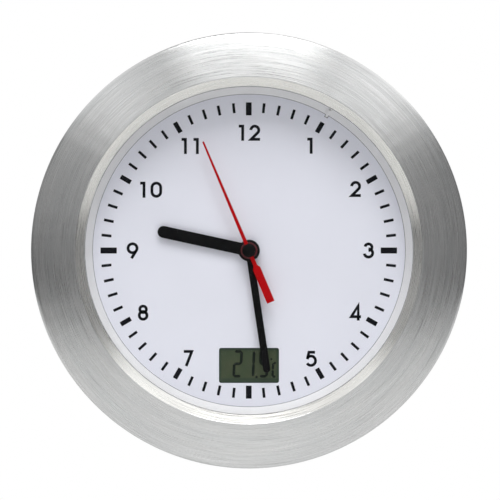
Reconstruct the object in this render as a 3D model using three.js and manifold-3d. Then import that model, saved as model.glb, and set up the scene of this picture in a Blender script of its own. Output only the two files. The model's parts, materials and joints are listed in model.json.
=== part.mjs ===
// Radio-controlled bathroom clock with a brushed aluminium bezel. All lengths are in millimetres.
// +Z is up, the dial faces -Y and the wall is the plane y = 0, so a depth d from the wall lies at y = -d.
// The origin is on the axis of the hands. Angles on the dial run clockwise from twelve o'clock.
import * as THREE from "three";
import { mergeVertices } from "three/addons/utils/BufferGeometryUtils.js";
import Module from "manifold-3d";

const wasm = await Module();
wasm.setup();

// Clearances
const FIT = 0.15;
const LOOSE = 0.3;
const RUNNING = 0.25;

// How far a joined solid runs into its wall and a cutter past its face, how deep a boss or a peg
// is rooted in a thin wall, and how far a pinion runs into its wheel
const OVERRUN = 1;
const ROOT = 0.5;
const WELD = 0.2;

// Bezel
const CASE_RADIUS = 85;
const FACE_WIDTH = 17.5;
const CHAMFER_WIDTH = 3.5;
const CHAMFER_RISE = 3.5;
const FACE_DROP = 4;
const FACE_CROWN = 0.25;
const BEZEL_EDGE_RADIUS = 1;
const BEZEL_WALL = 1.6;
const BEZEL_LIP = 0.9;
const SKIRT_LENGTH = 15.4;

// Glass, its gasket and the pale ring behind it
const GLASS_THICKNESS = 2;
const GLASS_OVERHANG = 9.5;
const GASKET_THICKNESS = 0.4;
const GASKET_WIDTH = 2.2;
const RING_DEPTH = 8.25;
const RING_TAPER = 2.5;
const RING_FLANGE = 1.6;
const RING_WALL = 2;
const TAB_ANGLE = 30;
const TAB_WIDTH = 1;
const TAB_REACH = 0.9;

// Dial
const DIAL_THICKNESS = 0.5;
const DIAL_MARGIN = 0.4;
const WINDOW_WIDTH = 23.6;
const WINDOW_HEIGHT = 13.8;
const WINDOW_DROP = 45.2;
const WINDOW_CORNER = 1;

// Back housing
const CUP_STANDOFF = 5;
const HOUSING_WALL = 2.5;
const HOUSING_CORNER = 4;
const CORNER_EASE = 1.5;
const FLANGE_WIDTH = 6.9;
const FLANGE_THICKNESS = 3;
const FLANGE_STEP = 0.5;
const SHELF_WIDTH = 11;
const SHELF_THICKNESS = 2.6;
const RIM_WALL = 2.5;
const GUSSET_COUNT = 6;
const GUSSET_THICKNESS = 1.6;
const SEAL_THICKNESS = 0.6;

// Screws that hold the case together
const CASE_SCREW_COUNT = 4;
const CASE_SCREW_INSET = 3.3;
const SCREW_SHANK = 1.1;
const SCREW_HEAD = 2.2;
const SCREW_HEAD_HEIGHT = 1.5;
const SCREW_CROWN = 1.54;
const SCREW_BITE = 6;
const POST_RADIUS = 2.7;

// Suction cups, each at its angle on the dial seen from the front
const CUP_ANGLES = [75, 140, 220, 285];
const CUP_INSET = 10;
const CUP_RADIUS = 14;
const CUP_RIM = 0.9;
const CUP_HOLLOW = 2.6;
const CUP_HOLLOW_RADIUS = 6;
const CUP_HOLLOW_EDGE = 2;
const CUP_BACK = 3.2;
const CUP_BACK_RADIUS = 8;
const CUP_NECK = 3;
const CUP_KNOB = 4.4;
const CUP_KNOB_TIP = 3;
const CUP_KNOB_LENGTH = 2.2;

// Keyhole hanger
const HANGER_WIDTH = 26;
const HANGER_HEIGHT = 16;
const HANGER_THICKNESS = 1;
const HANGER_CORNER = 1;
const HANGER_ABOVE_DOOR = 1.6;
const HANGER_MARGIN = 0.56;
const KEYHOLE_RADIUS = 4.2;
const KEYHOLE_SLOT = 2.2;
const KEYHOLE_TRAVEL = 6;
const HANGER_POCKET_DEPTH = 6;
const POCKET_WALL = 2;

// Battery and its door
const BATTERY_RADIUS = 7.25;
const BATTERY_LENGTH = 50.5;
const BATTERY_NUB_RADIUS = 2.75;
const BATTERY_NUB = 1;
const BATTERY_EDGE = 0.5;
const CONTACT_SPACE = 1.25;
const CONTACT_THICKNESS = 0.45;
const CONTACT_MARGIN = 1;
const CONTACT_SIDE = 2;
const CONTACT_DIMPLE = 0.6;
const DOOR_MARGIN = 3.85;
const DOOR_SIDE_MARGIN = 2.3;
const DOOR_REBATE = 1.5;
const DOOR_LEDGE = 3.1;
const DOOR_THICKNESS = 1.3;
const DOOR_CORNER = 4;
const DOOR_SPIGOT_WALL = 1.2;
const SEAL_SECTION = 1.1;
const GRIP_RIBS = 3;
const GRIP_WIDTH = 14;
const GRIP_RIB = 0.8;
const GRIP_PITCH = 2;
const GRIP_PROUD = 0.5;

// Movement case
const MOVEMENT_DROP = 19;
const GEAR_ROOM_HEIGHT = 36.4;
const MOVEMENT_WALL = 1.5;
const MOVEMENT_CORNER = 3;
const MOVEMENT_LIFT = 0.5;
const BATTERY_SINK = 0.7;
const COVER_THICKNESS = 1.5;
const BOARD_STANDOFF = 1.8;
const BOARD_THICKNESS = 1;
const EAR_REACH = 7;
const EAR_HEIGHT = 8;
const EAR_THICKNESS = 2;
const EAR_DROP = 6;
const EAR_DEPTH = 4.7;
const BOSS_WALL = 0.6;
const BOSS_HEIGHT = 1.2;
const PAD_RADIUS = 1.5;
const PAD_INSET = 3;
const CRYSTAL_RADIUS = 1;
const CRYSTAL_LENGTH = 6;
const CHIP_SIZE = 6;
const CHIP_HEIGHT = 1.1;
const CHIP_INSET = 4.5;

// Gear trains. Each motor turns half a turn for one step of its hand.
const WHEEL_THICKNESS = 1;
const LAYER_GAP = 0.9;
const ARBOR_RADIUS = 0.45;
const ARBOR_LIFT = 1.1;
const STUD_RADIUS = 0.55;
const COLLAR_RADIUS = 1.6;
const COLLAR_HEIGHT = 0.6;
const LEAF = { addendum: 0.7, dedendum: 1.2, tip: 0.12, root: 0.27 };
const TOOTH = { addendum: 0.9, dedendum: 1.8, tip: 0.06 };
const PINION_TEETH = 6;
const SECONDS_WHEEL_TEETH = 36;
const SECONDS_WHEEL_MODULE = 0.52;
const SECONDS_IDLER_TEETH = 30;
const SECONDS_IDLER_MODULE = 0.45;
const MINUTE_WHEEL_TEETH = 48;
const MINUTE_IDLER_TEETH = 45;
const CANNON_TEETH = 10;
const MOTION_WHEEL_TEETH = 30;
const MOTION_PINION_TEETH = 8;
const HOUR_WHEEL_TEETH = 32;
const MINUTE_MODULE = 0.4;
const SECONDS_IDLER_ANGLE = 10;
const SECONDS_ROTOR_ANGLE = -25;
const MINUTE_IDLER_ANGLE = 145;
const MINUTE_ROTOR_ANGLE = 212;
const MOTION_ANGLE = 90;

// Motors
const MAGNET_RADIUS = 2.4;
const MAGNET_LENGTH = 2.6;
const STATOR_HALF_WIDTH = 8;
const STATOR_THICKNESS = 1;
const STATOR_LEG = 2.6;
const STATOR_TOP = 4;
const STATOR_FOOT = 5.5;
const STATOR_STEP = 2;
const STATOR_OVER_COIL = 1.6;
const PEG_RADIUS = 1.1;
const COIL_DROP = 9.5;
const COIL_RADIUS = 2.3;
const COIL_HALF_LENGTH = 4.8;
const BOBBIN_FLANGE = 0.6;
const WINDING_SINK = 0.4;
const CORE_THICKNESS = 1.2;
const CORE_WIDTH = 2.4;

// Tubes that carry the hands, one inside the other
const SECONDS_ARBOR = 0.5;
const TUBE_WALL = 0.45;
const FIXED_TUBE_WALL = 0.9;
const DIAL_HOLE_MARGIN = 0.5;
const TUBE_ABOVE_DIAL = 1.2;

// Hands
const HOUR_HAND_LENGTH = 36.6;
const HOUR_HAND_WIDTH = 4.3;
const HOUR_HUB_RADIUS = 4.1;
const MINUTE_HAND_LENGTH = 48.8;
const MINUTE_HAND_WIDTH = 2.65;
const MINUTE_HUB_RADIUS = 3.9;
const SECOND_HAND_LENGTH = 46.3;
const SECOND_HAND_ROOT = 1.35;
const SECOND_HAND_TIP = 0.6;
const SECOND_HUB_RADIUS = 3.4;
const TAIL_LENGTH = 22;
const TAIL_WIDTH = 3.1;
const TAIL_NECK = 1.4;
const TAIL_SHOULDER = 6.6;
const TAIL_TAPER = 0.9;
const CAP_RADIUS = 2.7;
const CAP_HEIGHT = 1.2;
const CAP_DOME = 0.12;
const CAP_ROUND = 0.4;
const HAND_THICKNESS = 0.45;
const HUB_HEIGHT = 1;
const HAND_GAP = 0.4;
const HOUR_HAND_ANGLE = 281.6;
const MINUTE_HAND_ANGLE = 172.05;
const SECOND_HAND_ANGLE = 337.1;

// Setting buttons on the movement
const BUTTON_RADIUS = 1.9;
const BUTTON_PITCH = 16;
const BUTTON_INSET = 4.4;
const BUTTON_PROUD = 1;
const BUTTON_FLANGE = 0.7;
const BUTTON_TRAVEL = 0.7;

// Receiver aerial
const ROD_RADIUS = 4;
const ROD_LENGTH = 60;
const ROD_GAP = 1.5;
const ROD_LIFT = 6.5;
const AERIAL_COIL_RADIUS = 6;
const AERIAL_COIL_LENGTH = 26;
const CRADLE_SPACING = 44;
const CRADLE_THICKNESS = 4;
const CRADLE_WALL = 2;

// Temperature display
const DISPLAY_GLASS_WIDTH = 27;
const DISPLAY_GLASS_HEIGHT = 17;
const DISPLAY_GLASS_THICKNESS = 2.2;
const DISPLAY_FRAME_WALL = 2;
const DISPLAY_BOARD_WIDTH = 46;
const DISPLAY_BOARD_HEIGHT = 20;
const DISPLAY_BOARD_THICKNESS = 1.2;
const DISPLAY_EAR_HEIGHT = 8;
const DISPLAY_EAR_THICKNESS = 1.6;
const CONNECTOR_HEIGHT = 4.4;
const CONNECTOR_THICKNESS = 2.2;
const CONNECTOR_INSET = 1;
const SENSOR_RADIUS = 1.5;
const SENSOR_STEM = 3;
const SENSOR_LEAD = 0.5;
const SENSOR_INSET = 4;
const BEAD_END = 60;
const WIRE_RADIUS = 0.6;
const WIRE_SPACING = 30;
const WIRE_START = 4;
const WIRE_BEND = 3;
const WIRE_LANDING = 3.4;
const WIRE_LIFT = 1;

// Sides of the round pieces
const BEZEL_SIDES = 56;
const LARGE_SIDES = 40;
const SMALL_SIDES = 16;
const SCREW_SIDES = 8;
const TUBE_SIDES = 12;
const PEG_SIDES = 6;
const HUB_SIDES = 18;
const CORNER_STEPS = 2;
const WIRE_STEPS = 12;

// Depths of the stack, from the wall to the front
const rearFace = CUP_STANDOFF;
const housingFloor = rearFace + HOUSING_WALL;
const movementRear = housingFloor + MOVEMENT_LIFT;
const coverFront = movementRear + COVER_THICKNESS;
const boardRear = coverFront + BOARD_STANDOFF;
const boardFront = boardRear + BOARD_THICKNESS;
const secondsLayer = boardFront + LAYER_GAP;
const idlerLayer = secondsLayer + WHEEL_THICKNESS + LAYER_GAP;
const minuteLayer = idlerLayer + WHEEL_THICKNESS + LAYER_GAP;
const motionLayer = minuteLayer + WHEEL_THICKNESS + LAYER_GAP;
const hourLayer = motionLayer + WHEEL_THICKNESS + LAYER_GAP;
const batteryFront = movementRear + BATTERY_SINK + 2 * BATTERY_RADIUS;
const roomFront = Math.max(batteryFront + LOOSE, hourLayer + WHEEL_THICKNESS + LAYER_GAP);
const movementFront = roomFront + MOVEMENT_WALL;
const dialRear = movementFront + LOOSE;
const dialFront = dialRear + DIAL_THICKNESS;
const shelfFront = dialRear - FIT;
const shelfRear = shelfFront - SHELF_THICKNESS;
const ringRear = dialFront + FIT;
const ringFront = ringRear + RING_DEPTH;
const glassRear = ringFront + FIT;
const glassFront = glassRear + GLASS_THICKNESS;
const rimFront = glassRear - SEAL_THICKNESS - 2 * FIT;
const lipRear = glassFront + GASKET_THICKNESS + 2 * FIT;
const lipFront = lipRear + BEZEL_LIP;
const faceTop = lipFront + CHAMFER_RISE;
const faceEdge = faceTop - FACE_DROP;
const skirtEnd = faceEdge - SKIRT_LENGTH;
const flangeRear = skirtEnd - FLANGE_STEP;
const flangeFront = flangeRear + FLANGE_THICKNESS;

// Radii of the stack
const faceInnerRadius = CASE_RADIUS - FACE_WIDTH;
const openingRadius = faceInnerRadius - CHAMFER_WIDTH;
const ringFootRadius = openingRadius - RING_TAPER;
const skirtInner = CASE_RADIUS - BEZEL_WALL;
const flangeRadius = skirtInner - LOOSE;
const bowlRadius = flangeRadius - FLANGE_WIDTH;
const caseScrewRadius = flangeRadius - CASE_SCREW_INSET;
const glassRadius = openingRadius + GLASS_OVERHANG;
const rimRadius = glassRadius - RIM_WALL;
const dialRadius = rimRadius - DIAL_MARGIN;

// Widths and heights of the movement case
const batteryRoom = (BATTERY_LENGTH + 2 * CONTACT_SPACE) / 2;
const roomTop = GEAR_ROOM_HEIGHT - MOVEMENT_DROP + MOVEMENT_WALL;
const roomBottom = MOVEMENT_WALL - MOVEMENT_DROP;
const bayBottom = roomTop + MOVEMENT_WALL;
const bayTop = bayBottom + 2 * (BATTERY_RADIUS + LOOSE);
const batteryHeight = (bayBottom + bayTop) / 2;
const batteryDepth = batteryFront - BATTERY_RADIUS;
const buttonHeight = roomTop - BUTTON_INSET;
const rodDrop = MOVEMENT_DROP + ROD_GAP + AERIAL_COIL_RADIUS;

const radians = THREE.MathUtils.degToRad;

// A point at a distance and a mathematical angle from the centre of the hands, as x and z
function polar(distance, angle) {
  return { x: distance * Math.cos(radians(angle)), z: distance * Math.sin(radians(angle)) };
}

// A point at a distance and a dial angle, clockwise from twelve
function onDial(distance, angle) {
  return polar(distance, 90 - angle);
}

// Places of the wheels
const secondsDistance = (PINION_TEETH + SECONDS_WHEEL_TEETH) * SECONDS_WHEEL_MODULE / 2;
const secondsRotorDistance = (PINION_TEETH + SECONDS_IDLER_TEETH) * SECONDS_IDLER_MODULE / 2;
const minuteDistance = (PINION_TEETH + MINUTE_WHEEL_TEETH) * MINUTE_MODULE / 2;
const minuteRotorDistance = (PINION_TEETH + MINUTE_IDLER_TEETH) * MINUTE_MODULE / 2;
const motionDistance = (CANNON_TEETH + MOTION_WHEEL_TEETH) * MINUTE_MODULE / 2;
const secondsIdler = polar(secondsDistance, SECONDS_IDLER_ANGLE);
const secondsRotor = away(secondsIdler, secondsRotorDistance, SECONDS_ROTOR_ANGLE);
const minuteIdler = polar(minuteDistance, MINUTE_IDLER_ANGLE);
const minuteRotor = away(minuteIdler, minuteRotorDistance, MINUTE_ROTOR_ANGLE);
const motionWheel = polar(motionDistance, MOTION_ANGLE);
const turningPlaces = [secondsIdler, secondsRotor, minuteIdler, minuteRotor];

// The gear room is as wide as the battery bay or the motors need
const motorReach = Math.max(secondsRotor.x, -minuteRotor.x) + STATOR_HALF_WIDTH + LOOSE;
const roomHalfWidth = Math.max(batteryRoom, motorReach);
const movementHalfWidth = roomHalfWidth + MOVEMENT_WALL;

// The door uncovers the battery bay and the buttons, and the hanger sits above it on the flat rear face
const doorTop = bayTop + DOOR_MARGIN;
const doorBottom = buttonHeight - BUTTON_RADIUS - DOOR_MARGIN;
const doorHeight = (doorTop + doorBottom) / 2;
const doorOpeningWidth = 2 * (movementHalfWidth + DOOR_SIDE_MARGIN);
const doorOpeningHeight = doorTop - doorBottom;
const hangerHeight = doorTop + DOOR_LEDGE + HANGER_ABOVE_DOOR + HANGER_HEIGHT / 2;
const housingFlatRadius = Math.hypot(HANGER_WIDTH / 2, hangerHeight + HANGER_HEIGHT / 2) + HANGER_MARGIN;
const innerFlatRadius = housingFlatRadius - HOUSING_WALL + CORNER_EASE;

// Radii of the tubes on the axis of the hands
const minuteBore = SECONDS_ARBOR + RUNNING;
const minuteTube = minuteBore + TUBE_WALL;
const hourBore = minuteTube + RUNNING;
const hourTube = hourBore + TUBE_WALL;
const fixedBore = hourTube + RUNNING;
const fixedTube = fixedBore + FIXED_TUBE_WALL;
const dialHole = fixedTube + DIAL_HOLE_MARGIN;

// Depths of the hands
const fixedTubeFront = dialFront + TUBE_ABOVE_DIAL;
const hourHandRear = fixedTubeFront + HAND_GAP;
const minuteHandRear = hourHandRear + HUB_HEIGHT + HAND_GAP;
const secondHandRear = minuteHandRear + HUB_HEIGHT + HAND_GAP;
const capRear = secondHandRear + HUB_HEIGHT + FIT;

function away(place, distance, angle) {
  const step = polar(distance, angle);
  return { x: place.x + step.x, z: place.z + step.z };
}

// A solid of revolution about the axis of the hands, from [radius, depth] pairs
function revolve(profile, sides = SMALL_SIDES) {
  const points = profile.map(([radius, depth]) => new THREE.Vector2(radius, -depth));
  if (THREE.ShapeUtils.area(points) < 0) {
    points.reverse();
  }
  if (points[0].x > 0 || points[points.length - 1].x > 0) {
    points.push(points[0].clone());
  }
  return new THREE.LatheGeometry(points, sides);
}

function disc(radius, depth, thickness, sides = SMALL_SIDES) {
  return revolve([[0, depth], [radius, depth], [radius, depth + thickness], [0, depth + thickness]], sides);
}

function ring(inner, outer, depth, thickness, sides = SMALL_SIDES) {
  const front = depth + thickness;
  return revolve([[inner, depth], [outer, depth], [outer, front], [inner, front]], sides);
}

// A cutter for a round hole right through a wall of a given depth and thickness
function through(radius, depth, thickness, sides = SMALL_SIDES) {
  return disc(radius, depth - OVERRUN, thickness + 2 * OVERRUN, sides);
}

// A flat piece cut from an outline in x and z, from a depth toward the front
function plate(shape, depth, thickness) {
  const options = { depth: thickness, bevelEnabled: false, curveSegments: CORNER_STEPS };
  return new THREE.ExtrudeGeometry(shape, options).rotateX(Math.PI / 2).translate(0, -depth, 0);
}

function block(width, height, depth, thickness, x = 0, z = 0) {
  return new THREE.BoxGeometry(width, thickness, height).translate(x, -depth - thickness / 2, z);
}

// A rod of round section along x, from [radius, x] pairs, centred on a depth and a height
function revolveAlongX(profile, depth, height, sides = SMALL_SIDES) {
  const turned = revolve(profile.map(([radius, x]) => [radius, -x]), sides);
  return turned.rotateZ(-Math.PI / 2).translate(0, -depth, height);
}

function rectangle(width, height, corner, x = 0, z = 0) {
  const right = x + width / 2;
  const left = x - width / 2;
  const top = z + height / 2;
  const bottom = z - height / 2;
  if (corner === 0) {
    const corners = [[left, bottom], [right, bottom], [right, top], [left, top]];
    return new THREE.Shape(corners.map(([across, up]) => new THREE.Vector2(across, up)));
  }
  const shape = new THREE.Shape();
  shape.moveTo(left + corner, bottom);
  shape.lineTo(right - corner, bottom);
  shape.absarc(right - corner, bottom + corner, corner, -Math.PI / 2, 0);
  shape.lineTo(right, top - corner);
  shape.absarc(right - corner, top - corner, corner, 0, Math.PI / 2);
  shape.lineTo(left + corner, top);
  shape.absarc(left + corner, top - corner, corner, Math.PI / 2, Math.PI);
  shape.lineTo(left, bottom + corner);
  shape.absarc(left + corner, bottom + corner, corner, Math.PI, 1.5 * Math.PI);
  return shape;
}

function roundHole(radius, sides, x = 0, z = 0) {
  const path = new THREE.Path();
  const corners = Array.from({ length: sides }, (unused, index) => {
    const turn = (2 * Math.PI * index) / sides;
    return new THREE.Vector2(x + radius * Math.cos(turn), z + radius * Math.sin(turn));
  });
  path.setFromPoints(corners);
  return path;
}

// Closed solids for cutting and joining
function toSolid(geometry) {
  const bare = geometry.clone();
  bare.deleteAttribute("normal");
  bare.deleteAttribute("uv");
  const merged = mergeVertices(bare, 1e-4);
  const corners = merged.index.array;
  const kept = [];
  for (let first = 0; first < corners.length; first += 3) {
    const [a, b, c] = corners.slice(first, first + 3);
    if (a !== b && b !== c && c !== a) {
      kept.push(a, b, c);
    }
  }
  const vertProperties = Float32Array.from(merged.attributes.position.array);
  return new wasm.Manifold(new wasm.Mesh({ numProp: 3, vertProperties, triVerts: Uint32Array.from(kept) }));
}

function toGeometry(solid) {
  const mesh = solid.getMesh();
  const geometry = new THREE.BufferGeometry();
  geometry.setAttribute("position", new THREE.BufferAttribute(mesh.vertProperties, 3));
  geometry.setIndex(new THREE.BufferAttribute(mesh.triVerts, 1));
  return geometry;
}

function joined(added, removed = []) {
  let solid = toSolid(added[0]);
  for (const geometry of added.slice(1)) {
    solid = solid.add(toSolid(geometry));
  }
  for (const geometry of removed) {
    solid = solid.subtract(toSolid(geometry));
  }
  return toGeometry(solid);
}

// Directions in a profile, as angles from the outward radius
const TO_FRONT = 90;
const TO_WALL = -90;

// Points of a round from one direction to another, as [radius, depth] pairs
function corner(radius, depth, round, from, to, steps) {
  return Array.from({ length: steps + 1 }, (unused, index) => {
    const angle = radians(from + ((to - from) * index) / steps);
    return [radius + round * Math.cos(angle), depth + round * Math.sin(angle)];
  });
}

// Finishes
const finishes = {
  aluminium: { color: 0xc9cbcc, roughness: 0.35, metalness: 1 },
  glass: { color: 0xf4f8f8, roughness: 0.03, metalness: 0 },
  whitePlastic: { color: 0xe4e4e2, roughness: 0.5, metalness: 0 },
  housingPlastic: { color: 0xd9d9d6, roughness: 0.6, metalness: 0 },
  dialPaint: { color: 0xdddfe9, roughness: 0.7, metalness: 0 },
  rubber: { color: 0x2a2a2a, roughness: 0.85, metalness: 0 },
  cupRubber: { color: 0xb9c2c4, roughness: 0.3, metalness: 0 },
  steel: { color: 0xb8babc, roughness: 0.35, metalness: 1 },
  movementPlastic: { color: 0x24262a, roughness: 0.55, metalness: 0 },
  gearPlastic: { color: 0xe9e4d4, roughness: 0.5, metalness: 0 },
  boardGreen: { color: 0x1f6b3c, roughness: 0.5, metalness: 0 },
  copper: { color: 0xb4673a, roughness: 0.4, metalness: 1 },
  ferrite: { color: 0x3b3a3c, roughness: 0.7, metalness: 0 },
  handBlack: { color: 0x141416, roughness: 0.4, metalness: 0 },
  handRed: { color: 0xc0141c, roughness: 0.4, metalness: 0 },
  displayGlass: { color: 0x46543a, roughness: 0.2, metalness: 0 },
  batteryWrap: { color: 0x3c5f8e, roughness: 0.35, metalness: 0 },
  buttonGrey: { color: 0x8f9296, roughness: 0.5, metalness: 0 },
};

function piece(name, geometry, finish, x = 0, z = 0, depth = 0) {
  const mesh = new THREE.Mesh(geometry, new THREE.MeshStandardMaterial(finishes[finish]));
  mesh.name = name;
  mesh.position.set(x, -depth, z);
  return mesh;
}

function gathered(...pieces) {
  const group = new THREE.Group();
  group.add(...pieces);
  return group;
}

// A round-headed screw whose head lies under its seat and whose shank points to the front
function screwGeometry() {
  const profile = [
    [0, -SCREW_HEAD_HEIGHT], [SCREW_CROWN, -SCREW_HEAD_HEIGHT], [SCREW_HEAD, 0],
    [SCREW_SHANK, 0], [SCREW_SHANK, SCREW_BITE], [0, SCREW_BITE + SCREW_SHANK],
  ];
  return revolve(profile, SCREW_SIDES);
}

// A screw with a countersunk head, level with the face that it holds
function countersunkScrewGeometry() {
  const profile = [
    [0, 0], [SCREW_HEAD, 0], [SCREW_SHANK, HANGER_THICKNESS],
    [SCREW_SHANK, SCREW_BITE], [0, SCREW_BITE + SCREW_SHANK],
  ];
  return revolve(profile, SCREW_SIDES);
}

const screwHole = SCREW_SHANK + FIT;

// Height of the crowned face above the wall at a radius
function faceDepth(radius) {
  const share = (radius - faceInnerRadius) / (CASE_RADIUS - faceInnerRadius);
  return faceTop - FACE_DROP * share + FACE_CROWN * 4 * share * (1 - share);
}

function caseScrewPlaces() {
  return Array.from({ length: CASE_SCREW_COUNT }, (unused, index) => {
    return onDial(caseScrewRadius, (360 / CASE_SCREW_COUNT) * (index + 0.5));
  });
}

function bezel() {
  const faceEnd = CASE_RADIUS - BEZEL_EDGE_RADIUS;
  const crown = [1 / 3, 2 / 3].map((share) => {
    const radius = faceInnerRadius + share * (faceEnd - faceInnerRadius);
    return [radius, faceDepth(radius)];
  });
  const edgeDepth = faceDepth(faceEnd) - BEZEL_EDGE_RADIUS;
  const chamferBack = openingRadius + GASKET_WIDTH + 2 * LOOSE;
  const underside = chamferBack + BEZEL_WALL;
  const shell = revolve([
    [openingRadius, lipFront],
    [faceInnerRadius, faceTop],
    ...crown,
    ...corner(faceEnd, edgeDepth, BEZEL_EDGE_RADIUS, TO_FRONT, 0, 2),
    [CASE_RADIUS, skirtEnd],
    [skirtInner, skirtEnd],
    [skirtInner, faceDepth(skirtInner) - BEZEL_WALL],
    [underside, faceDepth(underside) - BEZEL_WALL],
    [chamferBack, lipRear],
    [openingRadius, lipRear],
  ], BEZEL_SIDES);
  const bossRear = flangeFront + FIT;
  const bossLength = faceDepth(caseScrewRadius) - BEZEL_WALL / 2 - bossRear;
  const bosses = caseScrewPlaces().map(({ x, z }) => {
    return disc(POST_RADIUS, bossRear, bossLength, SCREW_SIDES).translate(x, 0, z);
  });
  const holes = caseScrewPlaces().map(({ x, z }) => {
    const length = SCREW_BITE + SCREW_SHANK + OVERRUN;
    return disc(screwHole, bossRear - OVERRUN, length, SCREW_SIDES).translate(x, 0, z);
  });
  return piece("bezel", joined([shell, ...bosses], holes), "aluminium");
}

function glassPieces() {
  const glass = disc(glassRadius, glassRear, GLASS_THICKNESS, LARGE_SIDES);
  const gasketInner = openingRadius + LOOSE;
  const gasketRear = glassFront + FIT;
  const gasket = ring(gasketInner, gasketInner + GASKET_WIDTH, gasketRear, GASKET_THICKNESS, LARGE_SIDES);
  const seal = ring(rimRadius + FIT, glassRadius - FIT, rimFront + FIT, SEAL_THICKNESS, LARGE_SIDES);
  return gathered(
    piece("lens", glass, "glass"),
    piece("lens_gasket", gasket, "rubber"),
    piece("housing_seal", seal, "rubber"),
  );
}

function innerRing() {
  const flangeOuter = dialRadius;
  const body = revolve([
    [ringFootRadius, ringRear],
    [flangeOuter, ringRear],
    [flangeOuter, ringRear + RING_FLANGE],
    [openingRadius + RING_WALL, ringRear + RING_FLANGE],
    [openingRadius + RING_WALL, ringFront],
    [openingRadius, ringFront],
  ], LARGE_SIDES);
  const rib = new THREE.Shape([
    new THREE.Vector2(ringFootRadius - TAB_REACH, ringRear),
    new THREE.Vector2(openingRadius + RING_WALL / 2, ringRear),
    new THREE.Vector2(openingRadius + RING_WALL / 2, ringFront - LOOSE),
    new THREE.Vector2(openingRadius - TAB_REACH, ringFront - LOOSE),
  ]);
  const tab = new THREE.ExtrudeGeometry(rib, { depth: TAB_WIDTH, bevelEnabled: false });
  tab.translate(0, 0, -TAB_WIDTH / 2).rotateX(Math.PI).rotateY(radians(TAB_ANGLE - 90));
  return piece("inner_ring", joined([body, tab]), "whitePlastic");
}

function dial() {
  const outline = new THREE.Shape();
  outline.setFromPoints(roundHole(dialRadius, LARGE_SIDES).getPoints());
  outline.holes.push(roundHole(dialHole, SMALL_SIDES));
  outline.holes.push(rectangle(WINDOW_WIDTH, WINDOW_HEIGHT, WINDOW_CORNER, 0, -WINDOW_DROP));
  return piece("dial", plate(outline, dialRear, DIAL_THICKNESS), "dialPaint");
}

// Posts that carry the movement and the display, with a blind hole for a screw from the front
const earDepth = movementRear + EAR_DEPTH;
const earPlaces = [-1, 1].map((side) => ({ x: side * (movementHalfWidth + EAR_REACH / 2), z: -EAR_DROP }));
const displayFrameRear = dialRear - LOOSE - DISPLAY_GLASS_THICKNESS - CONNECTOR_HEIGHT - FIT;
const displayBoardFront = displayFrameRear - FIT;
const displayBoardRear = displayBoardFront - DISPLAY_BOARD_THICKNESS;
const displayPostFront = displayBoardRear - FIT;
const movementScrewSeat = earDepth + EAR_THICKNESS + FIT;
const displayScrewSeat = displayFrameRear + DISPLAY_EAR_THICKNESS + FIT;
const displayEar = (DISPLAY_BOARD_WIDTH / 2 + DISPLAY_GLASS_WIDTH / 2 + DISPLAY_FRAME_WALL) / 2;
const displayPlaces = [-1, 1].map((side) => ({ x: side * displayEar, z: -WINDOW_DROP }));

function post({ x, z }, front, screwSeat) {
  const bodyRear = housingFloor - OVERRUN;
  const holeEnd = screwSeat - SCREW_BITE - SCREW_SHANK - FIT;
  return {
    body: disc(POST_RADIUS, bodyRear, front - bodyRear, SCREW_SIDES).translate(x, 0, z),
    hole: disc(screwHole, holeEnd, front - holeEnd + OVERRUN, SCREW_SIDES).translate(x, 0, z),
  };
}

function bowlProfile() {
  const flatEnd = housingFlatRadius;
  const slope = THREE.MathUtils.radToDeg(Math.atan2(flangeRear - rearFace, bowlRadius - flatEnd));
  const round = corner(flatEnd, rearFace + HOUSING_CORNER, HOUSING_CORNER, TO_WALL, TO_WALL + slope, 3);
  return [
    [0, rearFace],
    ...round,
    [bowlRadius, flangeRear],
    [flangeRadius, flangeRear],
    [flangeRadius, flangeFront],
    [glassRadius, flangeFront],
    [glassRadius, rimFront],
    [rimRadius, rimFront],
    [rimRadius, shelfFront],
    [rimRadius - SHELF_WIDTH, shelfFront],
    [rimRadius - SHELF_WIDTH, shelfRear],
    [bowlRadius - HOUSING_WALL, shelfRear],
    [innerFlatRadius + HOUSING_CORNER, housingFloor + HOUSING_CORNER],
    [innerFlatRadius, housingFloor],
    [0, housingFloor],
  ];
}

// Triangular ribs between the bowl's floor and the shelf that carries the dial
function gussets() {
  const rib = new THREE.Shape([
    new THREE.Vector2(innerFlatRadius, housingFloor - OVERRUN),
    new THREE.Vector2(innerFlatRadius + HOUSING_CORNER + OVERRUN, housingFloor + HOUSING_CORNER),
    new THREE.Vector2(bowlRadius - HOUSING_WALL + OVERRUN / 2, shelfRear + OVERRUN / 2),
    new THREE.Vector2(rimRadius - SHELF_WIDTH + OVERRUN, shelfRear + OVERRUN / 2),
  ]);
  return Array.from({ length: GUSSET_COUNT }, (unused, index) => {
    const angle = (360 / GUSSET_COUNT) * index;
    const plateGeometry = new THREE.ExtrudeGeometry(rib, { depth: GUSSET_THICKNESS, bevelEnabled: false });
    return plateGeometry.translate(0, 0, -GUSSET_THICKNESS / 2).rotateX(Math.PI).rotateY(radians(angle));
  });
}

const hangerSeat = rearFace + HANGER_THICKNESS + FIT;
const pocketHeight = KEYHOLE_TRAVEL + 2 * KEYHOLE_RADIUS + 2 * LOOSE;
const pocketWidth = 2 * (KEYHOLE_RADIUS + POCKET_WALL);
const keyholeBottom = (KEYHOLE_RADIUS - KEYHOLE_SLOT - KEYHOLE_TRAVEL) / 2;
const pocketMiddle = hangerHeight + keyholeBottom + KEYHOLE_TRAVEL / 2;
const hangerScrewReach = (HANGER_WIDTH + pocketWidth) / 4;
const hangerScrewPlaces = [-1, 1].map((side) => ({ x: side * hangerScrewReach, z: hangerHeight }));

function cupPlaces() {
  return CUP_ANGLES.map((angle) => onDial(housingFlatRadius - CUP_INSET, angle));
}

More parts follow.
